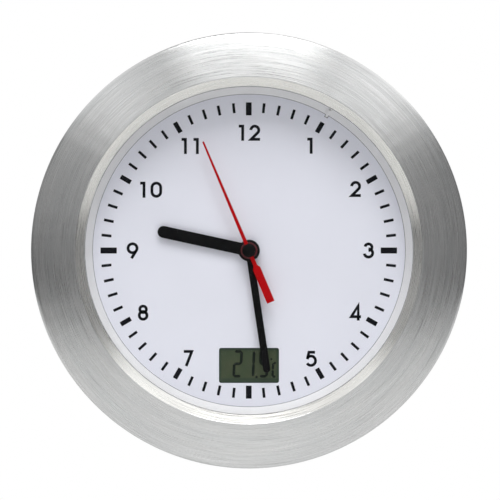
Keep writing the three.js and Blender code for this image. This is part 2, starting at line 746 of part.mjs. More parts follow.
// The shelf is cut away round the display, where the dial's window is near the rim
const displayFrame = [DISPLAY_GLASS_WIDTH, DISPLAY_GLASS_HEIGHT].map((side) => side + 2 * DISPLAY_FRAME_WALL);
const displayNotch = displayFrame.map((side) => side + 2 * LOOSE);

function backHousing() {
  const ledgeWidth = doorOpeningWidth + 2 * DOOR_LEDGE;
  const ledgeHeight = doorOpeningHeight + 2 * DOOR_LEDGE;
  const rebate = rectangle(ledgeWidth, ledgeHeight, DOOR_CORNER, 0, doorHeight);
  const opening = rectangle(doorOpeningWidth, doorOpeningHeight, DOOR_CORNER / 2, 0, doorHeight);
  const recess = [HANGER_WIDTH + 2 * FIT, HANGER_HEIGHT + 2 * FIT, HANGER_CORNER + FIT];
  const hangerRecess = rectangle(...recess, 0, hangerHeight);
  const pocketFront = hangerSeat + HANGER_POCKET_DEPTH;
  const pocketLength = pocketFront + POCKET_WALL - housingFloor + OVERRUN;
  const pocketOuter = [pocketWidth + 2 * POCKET_WALL, pocketHeight + 2 * POCKET_WALL];
  const posts = [
    ...earPlaces.map((place) => post(place, earDepth - FIT, movementScrewSeat)),
    ...displayPlaces.map((place) => post(place, displayPostFront, displayScrewSeat)),
  ];
  const hangerBosses = hangerScrewPlaces.map(({ x, z }) => {
    const length = SCREW_BITE + 2 * OVERRUN;
    return disc(POST_RADIUS, housingFloor - OVERRUN, length, SCREW_SIDES).translate(x, 0, z);
  });
  const rodDepth = housingFloor + ROD_LIFT;
  const cradles = [-1, 1].map((side) => {
    const x = (side * CRADLE_SPACING) / 2;
    const height = 2 * (ROD_RADIUS + CRADLE_WALL);
    return block(CRADLE_THICKNESS, height, housingFloor - OVERRUN, ROD_LIFT + OVERRUN, x, -rodDrop);
  });
  const notchRadius = ROD_RADIUS + LOOSE;
  const notchEnd = CRADLE_SPACING / 2 + CRADLE_THICKNESS;
  const notchProfile = [[0, -notchEnd], [notchRadius, -notchEnd], [notchRadius, notchEnd], [0, notchEnd]];
  const notch = revolveAlongX(notchProfile, rodDepth, -rodDrop, TUBE_SIDES);
  const added = [
    revolve(bowlProfile(), LARGE_SIDES),
    ...gussets(),
    ...posts.map(({ body }) => body),
    ...hangerBosses,
    block(...pocketOuter, housingFloor - OVERRUN, pocketLength, 0, pocketMiddle),
    ...cradles,
  ];
  const removed = [
    ...posts.map(({ hole }) => hole),
    notch,
    plate(rebate, rearFace - OVERRUN, DOOR_REBATE + OVERRUN),
    plate(opening, rearFace - OVERRUN, HOUSING_WALL + 2 * OVERRUN),
    plate(hangerRecess, rearFace - OVERRUN, hangerSeat - rearFace + OVERRUN),
    block(pocketWidth, pocketHeight, hangerSeat - FIT, pocketFront - hangerSeat + FIT, 0, pocketMiddle),
    block(...displayNotch, shelfRear - OVERRUN, SHELF_THICKNESS + 2 * OVERRUN, 0, -WINDOW_DROP),
    ...hangerScrewPlaces.map(({ x, z }) => {
      return disc(screwHole, rearFace, SCREW_BITE + SCREW_SHANK + FIT, SCREW_SIDES).translate(x, 0, z);
    }),
    ...cupPlaces().map(({ x, z }) => {
      return through(CUP_NECK + LOOSE, rearFace, HOUSING_WALL, TUBE_SIDES).translate(x, 0, z);
    }),
    ...caseScrewPlaces().map(({ x, z }) => {
      return through(screwHole, flangeRear, FLANGE_THICKNESS, SCREW_SIDES).translate(x, 0, z);
    }),
  ];
  return piece("back_housing", joined(added, removed), "housingPlastic");
}

function caseScrews() {
  return gathered(...caseScrewPlaces().map(({ x, z }, index) => {
    return piece(`case_screw_${index + 1}`, screwGeometry(), "steel", x, z, flangeRear - FIT);
  }));
}

function suctionCups() {
  const shoulder = rearFace - FIT;
  const knobRear = housingFloor + FIT;
  const profile = [
    [0, CUP_HOLLOW], [CUP_HOLLOW_RADIUS, CUP_HOLLOW_EDGE],
    [CUP_RADIUS - CUP_RIM, 0], [CUP_RADIUS, 0], [CUP_BACK_RADIUS, CUP_BACK],
    [CUP_KNOB, shoulder], [CUP_NECK, shoulder], [CUP_NECK, knobRear], [CUP_KNOB, knobRear],
    [CUP_KNOB_TIP, knobRear + CUP_KNOB_LENGTH], [0, knobRear + CUP_KNOB_LENGTH],
  ];
  return gathered(...cupPlaces().map(({ x, z }, index) => {
    return piece(`suction_cup_${index + 1}`, revolve(profile), "cupRubber", x, z);
  }));
}

function hanger() {
  const outline = rectangle(HANGER_WIDTH, HANGER_HEIGHT, HANGER_CORNER);
  const throat = Math.asin(KEYHOLE_SLOT / KEYHOLE_RADIUS);
  const keyhole = new THREE.Path();
  const round = Array.from({ length: SMALL_SIDES + 1 }, (unused, index) => {
    const turn = Math.PI / 2 + throat + (index / SMALL_SIDES) * 2 * (Math.PI - throat);
    const rise = KEYHOLE_RADIUS * Math.sin(turn);
    return new THREE.Vector2(KEYHOLE_RADIUS * Math.cos(turn), keyholeBottom + rise);
  });
  keyhole.setFromPoints(round);
  keyhole.absarc(0, keyholeBottom + KEYHOLE_TRAVEL, KEYHOLE_SLOT, 0, Math.PI);
  outline.holes.push(keyhole);
  const countersinks = hangerScrewPlaces.map(({ x }) => {
    const wide = SCREW_HEAD + 2 * FIT;
    const narrow = SCREW_SHANK + 2 * FIT;
    const past = HANGER_THICKNESS + OVERRUN;
    const sunk = [[0, -OVERRUN], [wide, -OVERRUN], [wide, 0]];
    const cone = [...sunk, [narrow, HANGER_THICKNESS], [narrow, past], [0, past]];
    return revolve(cone, SCREW_SIDES).translate(x, 0, 0);
  });
  const geometry = joined([plate(outline, 0, HANGER_THICKNESS)], countersinks);
  const screws = hangerScrewPlaces.map(({ x, z }, index) => {
    return piece(`hanger_screw_${index + 1}`, countersunkScrewGeometry(), "steel", x, z, rearFace + FIT);
  });
  return gathered(
    piece("hanger_plate", geometry, "steel", 0, hangerHeight, rearFace),
    ...screws,
  );
}

function batteryDoor() {
  const spigotGap = SEAL_SECTION + 2 * FIT;
  const spigotWidth = doorOpeningWidth - 2 * spigotGap;
  const spigotHeight = doorOpeningHeight - 2 * spigotGap;
  const plateWidth = doorOpeningWidth + 2 * (DOOR_LEDGE - RUNNING);
  const plateHeight = doorOpeningHeight + 2 * (DOOR_LEDGE - RUNNING);
  const spigot = rectangle(spigotWidth, spigotHeight, DOOR_CORNER / 2);
  spigot.holes.push(
    rectangle(spigotWidth - 2 * DOOR_SPIGOT_WALL, spigotHeight - 2 * DOOR_SPIGOT_WALL, DOOR_CORNER / 4));
  const spigotLength = movementRear - LOOSE - rearFace - DOOR_THICKNESS;
  const ribs = Array.from({ length: GRIP_RIBS }, (unused, index) => {
    const height = GRIP_PITCH * (index + 0.5) - doorOpeningHeight / 2;
    return block(GRIP_WIDTH, GRIP_RIB, rearFace - GRIP_PROUD, 2 * GRIP_PROUD, 0, height);
  });
  const door = joined([
    plate(rectangle(plateWidth, plateHeight, DOOR_CORNER - RUNNING), rearFace, DOOR_THICKNESS),
    plate(spigot, rearFace + DOOR_THICKNESS / 2, spigotLength + DOOR_THICKNESS / 2),
    ...ribs,
  ]);
  const sealOuter = rectangle(doorOpeningWidth - 2 * FIT, doorOpeningHeight - 2 * FIT, DOOR_CORNER / 2);
  sealOuter.holes.push(rectangle(spigotWidth + 2 * FIT, spigotHeight + 2 * FIT, DOOR_CORNER / 2));
  const sealRear = rearFace + DOOR_THICKNESS + FIT;
  const seal = plate(sealOuter, sealRear, housingFloor - sealRear);
  return gathered(
    piece("battery_door", door, "housingPlastic", 0, doorHeight),
    piece("door_seal", seal, "rubber", 0, doorHeight),
  );
}

// Bosses with a blind hole, in which the arbors turn
const boreRadius = ARBOR_RADIUS + RUNNING;
const bossRadius = boreRadius + BOSS_WALL;
const arborRear = coverFront + ARBOR_LIFT;
const arborFront = roomFront - RUNNING;
const legPlaces = [secondsRotor, minuteRotor].flatMap((rotor) => {
  const reach = STATOR_HALF_WIDTH - STATOR_LEG / 2;
  return [-reach, reach].map((offset) => ({ x: rotor.x + offset, z: rotor.z - COIL_DROP }));
});
const magnetRear = idlerLayer + WHEEL_THICKNESS + LAYER_GAP;
const statorRear = magnetRear + (MAGNET_LENGTH - STATOR_THICKNESS) / 2;
const statorFront = statorRear + STATOR_THICKNESS;
const earReach = movementHalfWidth + EAR_REACH;

function movementBase() {
  const top = bayTop + MOVEMENT_WALL;
  const height = top + MOVEMENT_DROP;
  const middle = (top - MOVEMENT_DROP) / 2;
  const length = movementFront - movementRear;
  const outer = rectangle(2 * movementHalfWidth, height, MOVEMENT_CORNER, 0, middle);
  const roomWidth = 2 * roomHalfWidth;
  const bayMiddle = (bayBottom + bayTop) / 2;
  const roomMiddle = (roomBottom + roomTop) / 2;
  const roomRear = movementRear - OVERRUN;
  const roomLength = roomFront - roomRear;
  const tube = ring(fixedBore, fixedTube, roomFront, fixedTubeFront - roomFront);
  const bosses = turningPlaces.map(({ x, z }) => {
    return disc(bossRadius, roomFront - BOSS_HEIGHT, BOSS_HEIGHT + ROOT, SCREW_SIDES).translate(x, 0, z);
  });
  const bores = turningPlaces.map(({ x, z }) => {
    const length = BOSS_HEIGHT + OVERRUN;
    return disc(boreRadius, roomFront - length, length + LOOSE, SCREW_SIDES).translate(x, 0, z);
  });
  const studRear = motionLayer - RUNNING;
  const motionStud = disc(STUD_RADIUS, studRear, roomFront + ROOT - studRear, SCREW_SIDES);
  const statorPosts = legPlaces.map(({ x, z }) => {
    const pegRear = statorFront + FIT;
    return disc(PEG_RADIUS, pegRear, roomFront + ROOT - pegRear, PEG_SIDES).translate(x, 0, z);
  });
  const wireSlots = [-1, 1].map((side) => {
    const width = 4 * WIRE_RADIUS;
    const slotHeight = MOVEMENT_WALL + 2 * OVERRUN;
    const x = (side * WIRE_SPACING) / 2;
    return block(width, slotHeight, roomRear, boardFront - roomRear, x, -MOVEMENT_DROP);
  });
  const base = joined(
    [
      plate(outer, movementRear, length),
      block(2 * earReach, EAR_HEIGHT, earDepth, EAR_THICKNESS, 0, -EAR_DROP),
    ],
    [
      block(roomWidth, roomTop - roomBottom, roomRear, roomLength, 0, roomMiddle),
      block(2 * batteryRoom, bayTop - bayBottom, roomRear, roomLength, 0, bayMiddle),
      through(fixedBore, roomFront, MOVEMENT_WALL),
      ...earPlaces.map(({ x, z }) => {
        return through(screwHole, earDepth, EAR_THICKNESS, SCREW_SIDES).translate(x, 0, z);
      }),
      ...wireSlots,
    ],
  );
  const finished = joined(
    [base, tube, ...bosses, motionStud.translate(motionWheel.x, 0, motionWheel.z), ...statorPosts],
    bores,
  );
  const screws = earPlaces.map(({ x, z }, index) => {
    const screw = piece(`movement_screw_${index + 1}`, screwGeometry().rotateX(Math.PI), "steel");
    screw.position.set(x, -movementScrewSeat, z);
    return screw;
  });
  return gathered(piece("movement_base", finished, "movementPlastic"), ...screws);
}

const padPlaces = [-1, 1].flatMap((side) => {
  const x = side * (roomHalfWidth - PAD_INSET);
  return [{ x, z: roomBottom + PAD_INSET }, { x, z: roomTop - PAD_INSET }];
});
const buttonPlaces = [-1, 0, 1].map((index) => ({ x: index * BUTTON_PITCH, z: buttonHeight }));

function movementCover() {
  const width = 2 * (roomHalfWidth - FIT);
  const height = roomTop - roomBottom - 2 * FIT;
  const outline = rectangle(width, height, 0, 0, (roomTop + roomBottom) / 2);
  for (const { x, z } of buttonPlaces) {
    outline.holes.push(roundHole(BUTTON_RADIUS + RUNNING, 12, x, z));
  }
  const bossEnd = boardFront + FIT;
  const arbors = [...turningPlaces, { x: 0, z: 0 }];
  const bosses = arbors.map(({ x, z }) => {
    return disc(bossRadius, coverFront - ROOT, bossEnd - coverFront + ROOT, SCREW_SIDES).translate(x, 0, z);
  });
  const pads = padPlaces.map(({ x, z }) => {
    const padFront = boardRear - FIT;
    return disc(PAD_RADIUS, coverFront - ROOT, padFront - coverFront + ROOT, PEG_SIDES).translate(x, 0, z);
  });
  const bores = arbors.map(({ x, z }) => {
    const boreRear = arborRear - RUNNING;
    return disc(boreRadius, boreRear, bossEnd + OVERRUN - boreRear, SCREW_SIDES).translate(x, 0, z);
  });
  const cover = joined([plate(outline, movementRear, COVER_THICKNESS), ...bosses, ...pads], bores);
  return piece("movement_cover", cover, "movementPlastic");
}

function circuitBoard() {
  const width = 2 * (roomHalfWidth - LOOSE);
  const height = roomTop - roomBottom - 2 * LOOSE;
  const outline = rectangle(width, height, 0, 0, (roomTop + roomBottom) / 2);
  for (const { x, z } of [...turningPlaces, { x: 0, z: 0 }]) {
    outline.holes.push(roundHole(bossRadius + LOOSE, 10, x, z));
  }
  const can = [[0, 0], [CRYSTAL_RADIUS, 0], [CRYSTAL_RADIUS, CRYSTAL_LENGTH], [0, CRYSTAL_LENGTH]];
  const crystal = revolveAlongX(can, boardFront + FIT + CRYSTAL_RADIUS, 0, SCREW_SIDES);
  const chip = block(CHIP_SIZE, CHIP_SIZE, boardFront + FIT, CHIP_HEIGHT);
  return gathered(
    piece("circuit_board", plate(outline, boardRear, BOARD_THICKNESS), "boardGreen"),
    piece("quartz_crystal", crystal, "steel", BUTTON_PITCH / 2, roomTop - PAD_INSET),
    piece("receiver_chip", chip, "movementPlastic", -BUTTON_PITCH / 2, roomTop - CHIP_INSET),
  );
}

// Outline of a toothed wheel. The phase turns its first tooth, in mathematical degrees.
// A pinion has flat gaps between its leaves and a wheel has pointed gaps between its teeth.
// The sides of a tooth are shares of the pitch, so its gap is deepest half a pitch away.
function toothedOutline(teeth, module, phase) {
  const pitchRadius = (teeth * module) / 2;
  const isPinion = teeth <= CANNON_TEETH;
  const form = isPinion ? LEAF : TOOTH;
  const root = pitchRadius - form.dedendum * module;
  const tip = pitchRadius + form.addendum * module;
  const step = (2 * Math.PI) / teeth;
  const flanks = isPinion ? [[root, -form.root], [root, form.root]] : [[root, -1 / 2]];
  const corners = [flanks[0], [tip, -form.tip], [tip, form.tip], ...flanks.slice(1)];
  const points = [];
  for (let tooth = 0; tooth < teeth; tooth += 1) {
    for (const [radius, side] of corners) {
      const angle = radians(phase) + step * (tooth + side);
      points.push(new THREE.Vector2(radius * Math.cos(angle), radius * Math.sin(angle)));
    }
  }
  return new THREE.Shape(points);
}

// Phases that put a tooth or a gap on the line toward a neighbour
function toothToward(angle) {
  return angle;
}

function gapToward(angle, teeth) {
  return angle + 180 / teeth;
}

function wheelDisc(teeth, module, phase, depth, thickness = WHEEL_THICKNESS) {
  return plate(toothedOutline(teeth, module, phase), depth, thickness);
}

function secondsTrain() {
  const wheelPhase = gapToward(SECONDS_IDLER_ANGLE, SECONDS_WHEEL_TEETH);
  const arborLength = secondHandRear + HUB_HEIGHT - arborRear;
  const wheel = joined([
    wheelDisc(SECONDS_WHEEL_TEETH, SECONDS_WHEEL_MODULE, wheelPhase, secondsLayer),
    disc(SECONDS_ARBOR, arborRear, arborLength, SCREW_SIDES),
    disc(COLLAR_RADIUS, secondsLayer, WHEEL_THICKNESS + COLLAR_HEIGHT, SCREW_SIDES),
  ]);
  const idlerPhase = gapToward(SECONDS_ROTOR_ANGLE, SECONDS_IDLER_TEETH);
  const pinionPhase = toothToward(SECONDS_IDLER_ANGLE + 180);
  const pinionRear = secondsLayer - RUNNING;
  const pinionLength = idlerLayer - pinionRear + WELD;
  const idler = joined([
    wheelDisc(SECONDS_IDLER_TEETH, SECONDS_IDLER_MODULE, idlerPhase, idlerLayer),
    wheelDisc(PINION_TEETH, SECONDS_WHEEL_MODULE, pinionPhase, pinionRear, pinionLength),
    disc(ARBOR_RADIUS, arborRear, arborFront - arborRear, SCREW_SIDES),
  ]);
  return gathered(
    piece("seconds_wheel", wheel, "gearPlastic"),
    piece("seconds_idler_wheel", idler, "gearPlastic", secondsIdler.x, secondsIdler.z),
  );
}

function minuteTrain() {
  const wheelPhase = gapToward(MINUTE_IDLER_ANGLE, MINUTE_WHEEL_TEETH);
  const cannonRear = minuteLayer + WHEEL_THICKNESS - WELD;
  const cannonLength = motionLayer + WHEEL_THICKNESS + RUNNING - cannonRear;
  const tubeLength = minuteHandRear + HUB_HEIGHT - minuteLayer;
  const wheel = joined(
    [
      wheelDisc(MINUTE_WHEEL_TEETH, MINUTE_MODULE, wheelPhase, minuteLayer),
      wheelDisc(CANNON_TEETH, MINUTE_MODULE, toothToward(MOTION_ANGLE), cannonRear, cannonLength),
      disc(minuteTube, minuteLayer, tubeLength, TUBE_SIDES),
    ],
    [through(minuteBore, minuteLayer, tubeLength, TUBE_SIDES)],
  );
  const idlerPhase = gapToward(MINUTE_ROTOR_ANGLE, MINUTE_IDLER_TEETH);
  const pinionPhase = toothToward(MINUTE_IDLER_ANGLE + 180);
  const pinionRear = idlerLayer + WHEEL_THICKNESS - WELD;
  const pinionLength = minuteLayer + WHEEL_THICKNESS + RUNNING - pinionRear;
  const idler = joined([
    wheelDisc(MINUTE_IDLER_TEETH, MINUTE_MODULE, idlerPhase, idlerLayer),
    wheelDisc(PINION_TEETH, MINUTE_MODULE, pinionPhase, pinionRear, pinionLength),
    disc(ARBOR_RADIUS, arborRear, arborFront - arborRear, SCREW_SIDES),
  ]);
  return gathered(
    piece("minute_wheel", wheel, "gearPlastic"),
    piece("minute_idler_wheel", idler, "gearPlastic", minuteIdler.x, minuteIdler.z),
  );
}

function motionWork() {
  const motionPhase = gapToward(MOTION_ANGLE + 180, MOTION_WHEEL_TEETH);
  const pinionPhase = toothToward(MOTION_ANGLE + 180);
  const pinionRear = motionLayer + WHEEL_THICKNESS - WELD;
  const pinionFront = hourLayer + WHEEL_THICKNESS + RUNNING;
  const motion = joined(
    [
      wheelDisc(MOTION_WHEEL_TEETH, MINUTE_MODULE, motionPhase, motionLayer),
      wheelDisc(MOTION_PINION_TEETH, MINUTE_MODULE, pinionPhase, pinionRear, pinionFront - pinionRear),
    ],
    [through(STUD_RADIUS + RUNNING, motionLayer, pinionFront - motionLayer, SCREW_SIDES)],
  );
  const tubeLength = hourHandRear + HUB_HEIGHT - hourLayer;
  const hour = joined(
    [
      wheelDisc(HOUR_WHEEL_TEETH, MINUTE_MODULE, gapToward(MOTION_ANGLE, HOUR_WHEEL_TEETH), hourLayer),
      disc(hourTube, hourLayer, tubeLength, TUBE_SIDES),
    ],
    [through(hourBore, hourLayer, tubeLength, TUBE_SIDES)],
  );
  return gathered(
    piece("motion_wheel", motion, "gearPlastic", motionWheel.x, motionWheel.z),
    piece("hour_wheel", hour, "gearPlastic"),
  );
}

// A stepping motor: a magnet on its pinion, an iron plate round it and a coil on a core below it
function motor(name, { x, z }, pinionModule, pinionPhase) {
  const pinionRear = idlerLayer - RUNNING;
  const rotor = joined([
    disc(MAGNET_RADIUS, magnetRear, MAGNET_LENGTH, TUBE_SIDES),
    wheelDisc(PINION_TEETH, pinionModule, pinionPhase, pinionRear, magnetRear - pinionRear + WELD),
    disc(ARBOR_RADIUS, arborRear, arborFront - arborRear, SCREW_SIDES),
  ]);
  const half = STATOR_HALF_WIDTH;
  const shoulder = half - STATOR_STEP;
  const legInner = half - STATOR_LEG;
  const legEnd = -COIL_DROP - STATOR_OVER_COIL;
  const right = [
    [legInner, -STATOR_FOOT], [legInner, legEnd], [half, legEnd],
    [half, -STATOR_TOP - STATOR_STEP], [shoulder, -STATOR_TOP], [shoulder, STATOR_TOP],
  ];
  const left = right.map(([across, up]) => [-across, up]).reverse();
  const outline = new THREE.Shape([...right, ...left].map(([across, up]) => new THREE.Vector2(across, up)));
  outline.holes.push(roundHole(MAGNET_RADIUS + LOOSE, TUBE_SIDES));
  const coreRear = statorRear - FIT - CORE_THICKNESS;
  const coilDepth = coreRear + CORE_THICKNESS / 2;
  const windingRadius = COIL_RADIUS - WINDING_SINK;
  const windingHalf = COIL_HALF_LENGTH - BOBBIN_FLANGE;
  const bobbin = revolveAlongX([
    [0, -COIL_HALF_LENGTH], [COIL_RADIUS, -COIL_HALF_LENGTH], [COIL_RADIUS, -windingHalf],
    [windingRadius, -windingHalf], [windingRadius, windingHalf], [COIL_RADIUS, windingHalf],
    [COIL_RADIUS, COIL_HALF_LENGTH], [0, COIL_HALF_LENGTH],
  ], coilDepth, -COIL_DROP, SCREW_SIDES);
  const core = block(2 * (half - FIT), CORE_WIDTH, coreRear, CORE_THICKNESS, 0, -COIL_DROP);
  return gathered(
    piece(`${name}_rotor`, rotor, "steel", x, z),
    piece(`${name}_stator`, plate(outline, statorRear, STATOR_THICKNESS), "steel", x, z),
    piece(`${name}_coil`, joined([bobbin, core]), "copper", x, z),
  );
}

function buttons() {
  const names = ["set_button", "receive_button", "reset_button"];
  const flangeRear = coverFront + RUNNING;
  const stemEnd = boardRear - BUTTON_TRAVEL - FIT;
  const profile = [
    [0, movementRear - BUTTON_PROUD], [BUTTON_RADIUS, movementRear - BUTTON_PROUD],
    [BUTTON_RADIUS, flangeRear], [BUTTON_RADIUS + BUTTON_FLANGE, flangeRear],
    [BUTTON_RADIUS + BUTTON_FLANGE, stemEnd], [0, stemEnd],
  ];
  return gathered(...buttonPlaces.map(({ x, z }, index) => {
    return piece(names[index], revolve(profile, TUBE_SIDES), "buttonGrey", x, z);
  }));
}

function battery() {
  const end = BATTERY_LENGTH / 2;
  const shoulder = end - BATTERY_NUB;
  const endRadius = BATTERY_RADIUS - BATTERY_EDGE;
  const body = revolveAlongX([
    [0, -end], [endRadius, -end], [BATTERY_RADIUS, BATTERY_EDGE - end],
    [BATTERY_RADIUS, shoulder - BATTERY_EDGE], [endRadius, shoulder],
    [BATTERY_NUB_RADIUS, shoulder], [BATTERY_NUB_RADIUS, end], [0, end],
  ], batteryDepth, batteryHeight, SMALL_SIDES);
  const wall = batteryRoom - FIT;
  const reach = wall - end - FIT;
  const contactHeight = 2 * (BATTERY_RADIUS - CONTACT_SIDE);
  const contactLength = 2 * (BATTERY_RADIUS - CONTACT_MARGIN);
  const contactDepth = batteryDepth - contactLength / 2;
  const contactMiddle = wall - CONTACT_THICKNESS / 2;
  const positive = block(
    CONTACT_THICKNESS, contactHeight, contactDepth, contactLength, contactMiddle, batteryHeight);
  const button = revolveAlongX([
    [0, end + FIT], [BATTERY_NUB_RADIUS, end + FIT],
    [BATTERY_NUB_RADIUS + CONTACT_DIMPLE, contactMiddle], [0, contactMiddle],
  ], batteryDepth, batteryHeight, TUBE_SIDES);
  const leaf = new THREE.Shape([
    new THREE.Vector2(-wall, contactDepth),
    new THREE.Vector2(-wall + CONTACT_THICKNESS, contactDepth),
    new THREE.Vector2(-wall + reach, batteryDepth),
    new THREE.Vector2(-wall + CONTACT_THICKNESS, contactDepth + contactLength),
    new THREE.Vector2(-wall, contactDepth + contactLength),
    new THREE.Vector2(-wall + reach - CONTACT_THICKNESS, batteryDepth),
  ]);
  const negative = new THREE.ExtrudeGeometry(leaf, { depth: contactHeight, bevelEnabled: false });
  negative.translate(0, 0, -contactHeight / 2).rotateX(Math.PI).translate(0, 0, batteryHeight);
  return gathered(
    piece("battery", body, "batteryWrap"),
    piece("contact_positive", joined([positive, button]), "steel"),
    piece("contact_negative", negative, "steel"),
  );
}

function aerial() {
  const depth = housingFloor + ROD_LIFT;
  const half = ROD_LENGTH / 2;
  const coilHalf = AERIAL_COIL_LENGTH / 2;
  const coilInner = ROD_RADIUS + FIT;
  const rodProfile = [[0, -half], [ROD_RADIUS, -half], [ROD_RADIUS, half], [0, half]];
  const rod = revolveAlongX(rodProfile, depth, -rodDrop, TUBE_SIDES);
  const coil = revolveAlongX([
    [coilInner, -coilHalf], [AERIAL_COIL_RADIUS, -coilHalf],
    [AERIAL_COIL_RADIUS, coilHalf], [coilInner, coilHalf],
  ], depth, -rodDrop, SMALL_SIDES);
  return gathered(piece("ferrite_rod", rod, "ferrite"), piece("antenna_coil", coil, "copper"));
}

function display() {
  const glassRearDepth = dialRear - LOOSE - DISPLAY_GLASS_THICKNESS;
  const pocket = [DISPLAY_GLASS_WIDTH + 2 * FIT, DISPLAY_GLASS_HEIGHT + 2 * FIT];
  const frameLength = dialRear - LOOSE - displayFrameRear;
  const holder = joined(
    [
      block(...displayFrame, displayFrameRear, frameLength),
      block(DISPLAY_BOARD_WIDTH, DISPLAY_EAR_HEIGHT, displayFrameRear, DISPLAY_EAR_THICKNESS),
    ],
    [
      block(...pocket, displayFrameRear - OVERRUN, frameLength + 2 * OVERRUN),
      ...displayPlaces.map(({ x }) => {
        return through(screwHole, displayFrameRear, DISPLAY_EAR_THICKNESS, SCREW_SIDES).translate(x, 0, 0);
      }),
    ],
  );
  const boardOutline = rectangle(DISPLAY_BOARD_WIDTH, DISPLAY_BOARD_HEIGHT, 0);
  for (const { x } of displayPlaces) {
    boardOutline.holes.push(roundHole(screwHole, SCREW_SIDES, x, 0));
  }
  const glass = block(DISPLAY_GLASS_WIDTH, DISPLAY_GLASS_HEIGHT, glassRearDepth, DISPLAY_GLASS_THICKNESS);
  const connectorDrop = -DISPLAY_GLASS_HEIGHT / 2 + CONNECTOR_THICKNESS;
  const connectorRear = displayBoardFront + FIT;
  const connectorLength = glassRearDepth - FIT - connectorRear;
  const connectorWidth = DISPLAY_GLASS_WIDTH - 2 * CONNECTOR_INSET;
  const connector = block(
    connectorWidth, CONNECTOR_THICKNESS, connectorRear, connectorLength, 0, connectorDrop);
  const sensorFront = displayBoardRear - FIT;
  const bead = sensorFront - SENSOR_STEM;
  const sensor = revolve([
    ...corner(0, bead - SENSOR_RADIUS, SENSOR_RADIUS, TO_WALL, BEAD_END, 3),
    [SENSOR_LEAD, bead], [SENSOR_LEAD, sensorFront], [0, sensorFront],
  ], SCREW_SIDES);
  const screws = displayPlaces.map(({ x }, index) => {
    const screw = piece(`display_screw_${index + 1}`, screwGeometry().rotateX(Math.PI), "steel", x, 0);
    screw.position.y = -displayScrewSeat;
    return screw;
  });
  const group = gathered(
    piece("display_glass", glass, "displayGlass"),
    piece("display_holder", holder, "movementPlastic"),
    piece("display_connector", connector, "rubber"),
    piece("display_board", plate(boardOutline, displayBoardRear, DISPLAY_BOARD_THICKNESS), "boardGreen"),
    piece("temperature_sensor", sensor, "movementPlastic", 0, SENSOR_INSET - DISPLAY_BOARD_HEIGHT / 2),
    ...screws,
  );
  group.position.z = -WINDOW_DROP;
  return group;
}

// Wires from the circuit board, behind the aerial rod, to the rear of the display board
function displayWires() {
  const boardSide = boardRear - FIT - WIRE_RADIUS;
  const floorSide = housingFloor + LOOSE + WIRE_RADIUS;
  const rodDepth = housingFloor + ROD_LIFT - ROD_RADIUS;
  const underRod = Math.min((housingFloor + rodDepth) / 2, floorSide + WIRE_LIFT);
  const displayTop = -WINDOW_DROP + DISPLAY_BOARD_HEIGHT / 2;
  const route = [
    [boardSide, roomBottom + WIRE_START],
    [boardSide, roomBottom],
    [boardSide, -MOVEMENT_DROP - ROOT],
    [underRod, ROD_RADIUS / 2 - rodDrop],
    [underRod, -rodDrop - ROD_RADIUS],
    [(underRod + displayBoardRear) / 2, displayTop - WIRE_BEND / 3],
    [displayBoardRear - WIRE_BEND, displayTop - WIRE_BEND],
    [displayBoardRear - FIT, displayTop - WIRE_LANDING],
  ];
  const section = new THREE.Shape();
  section.setFromPoints(roundHole(WIRE_RADIUS, SCREW_SIDES).getPoints());
  return gathered(...[-1, 1].map((side, index) => {
    const x = (side * WIRE_SPACING) / 2;
    const curve = new THREE.CatmullRomCurve3(route.map(([depth, z]) => new THREE.Vector3(x, -depth, z)));
    const options = { steps: WIRE_STEPS, extrudePath: curve, bevelEnabled: false };
    const geometry = new THREE.ExtrudeGeometry(section, options);
    return piece(`display_wire_${index + 1}`, geometry, "copper");
  }));
}

function roundEndedBar(length, width) {
  const half = width / 2;
  const shape = new THREE.Shape();
  shape.moveTo(-half, 0);
  shape.lineTo(half, 0);
  shape.lineTo(half, length - half);
  shape.absarc(0, length - half, half, 0, Math.PI);
  shape.lineTo(-half, 0);
  return shape;
}

function hand(name, blade, { radius, bore, rear }, angle, finish) {
  const added = [plate(blade, rear, HAND_THICKNESS), disc(radius, rear, HUB_HEIGHT, HUB_SIDES)];
  const geometry = joined(added, [through(bore, rear, HUB_HEIGHT, TUBE_SIDES)]);
  const mesh = piece(name, geometry, finish);
  mesh.rotation.y = radians(angle);
  return mesh;
}

function secondBlade() {
  const taper = TAIL_SHOULDER + TAIL_TAPER;
  const halves = [
    [SECOND_HAND_TIP / 2, SECOND_HAND_LENGTH], [SECOND_HAND_ROOT / 2, 0], [TAIL_NECK / 2, -TAIL_SHOULDER],
    [TAIL_WIDTH / 2, -taper], [TAIL_WIDTH / 2, -TAIL_LENGTH],
  ];
  const right = halves.map(([x, z]) => new THREE.Vector2(x, z));
  const left = halves.map(([x, z]) => new THREE.Vector2(-x, z)).reverse();
  return new THREE.Shape([...right, ...left]);
}

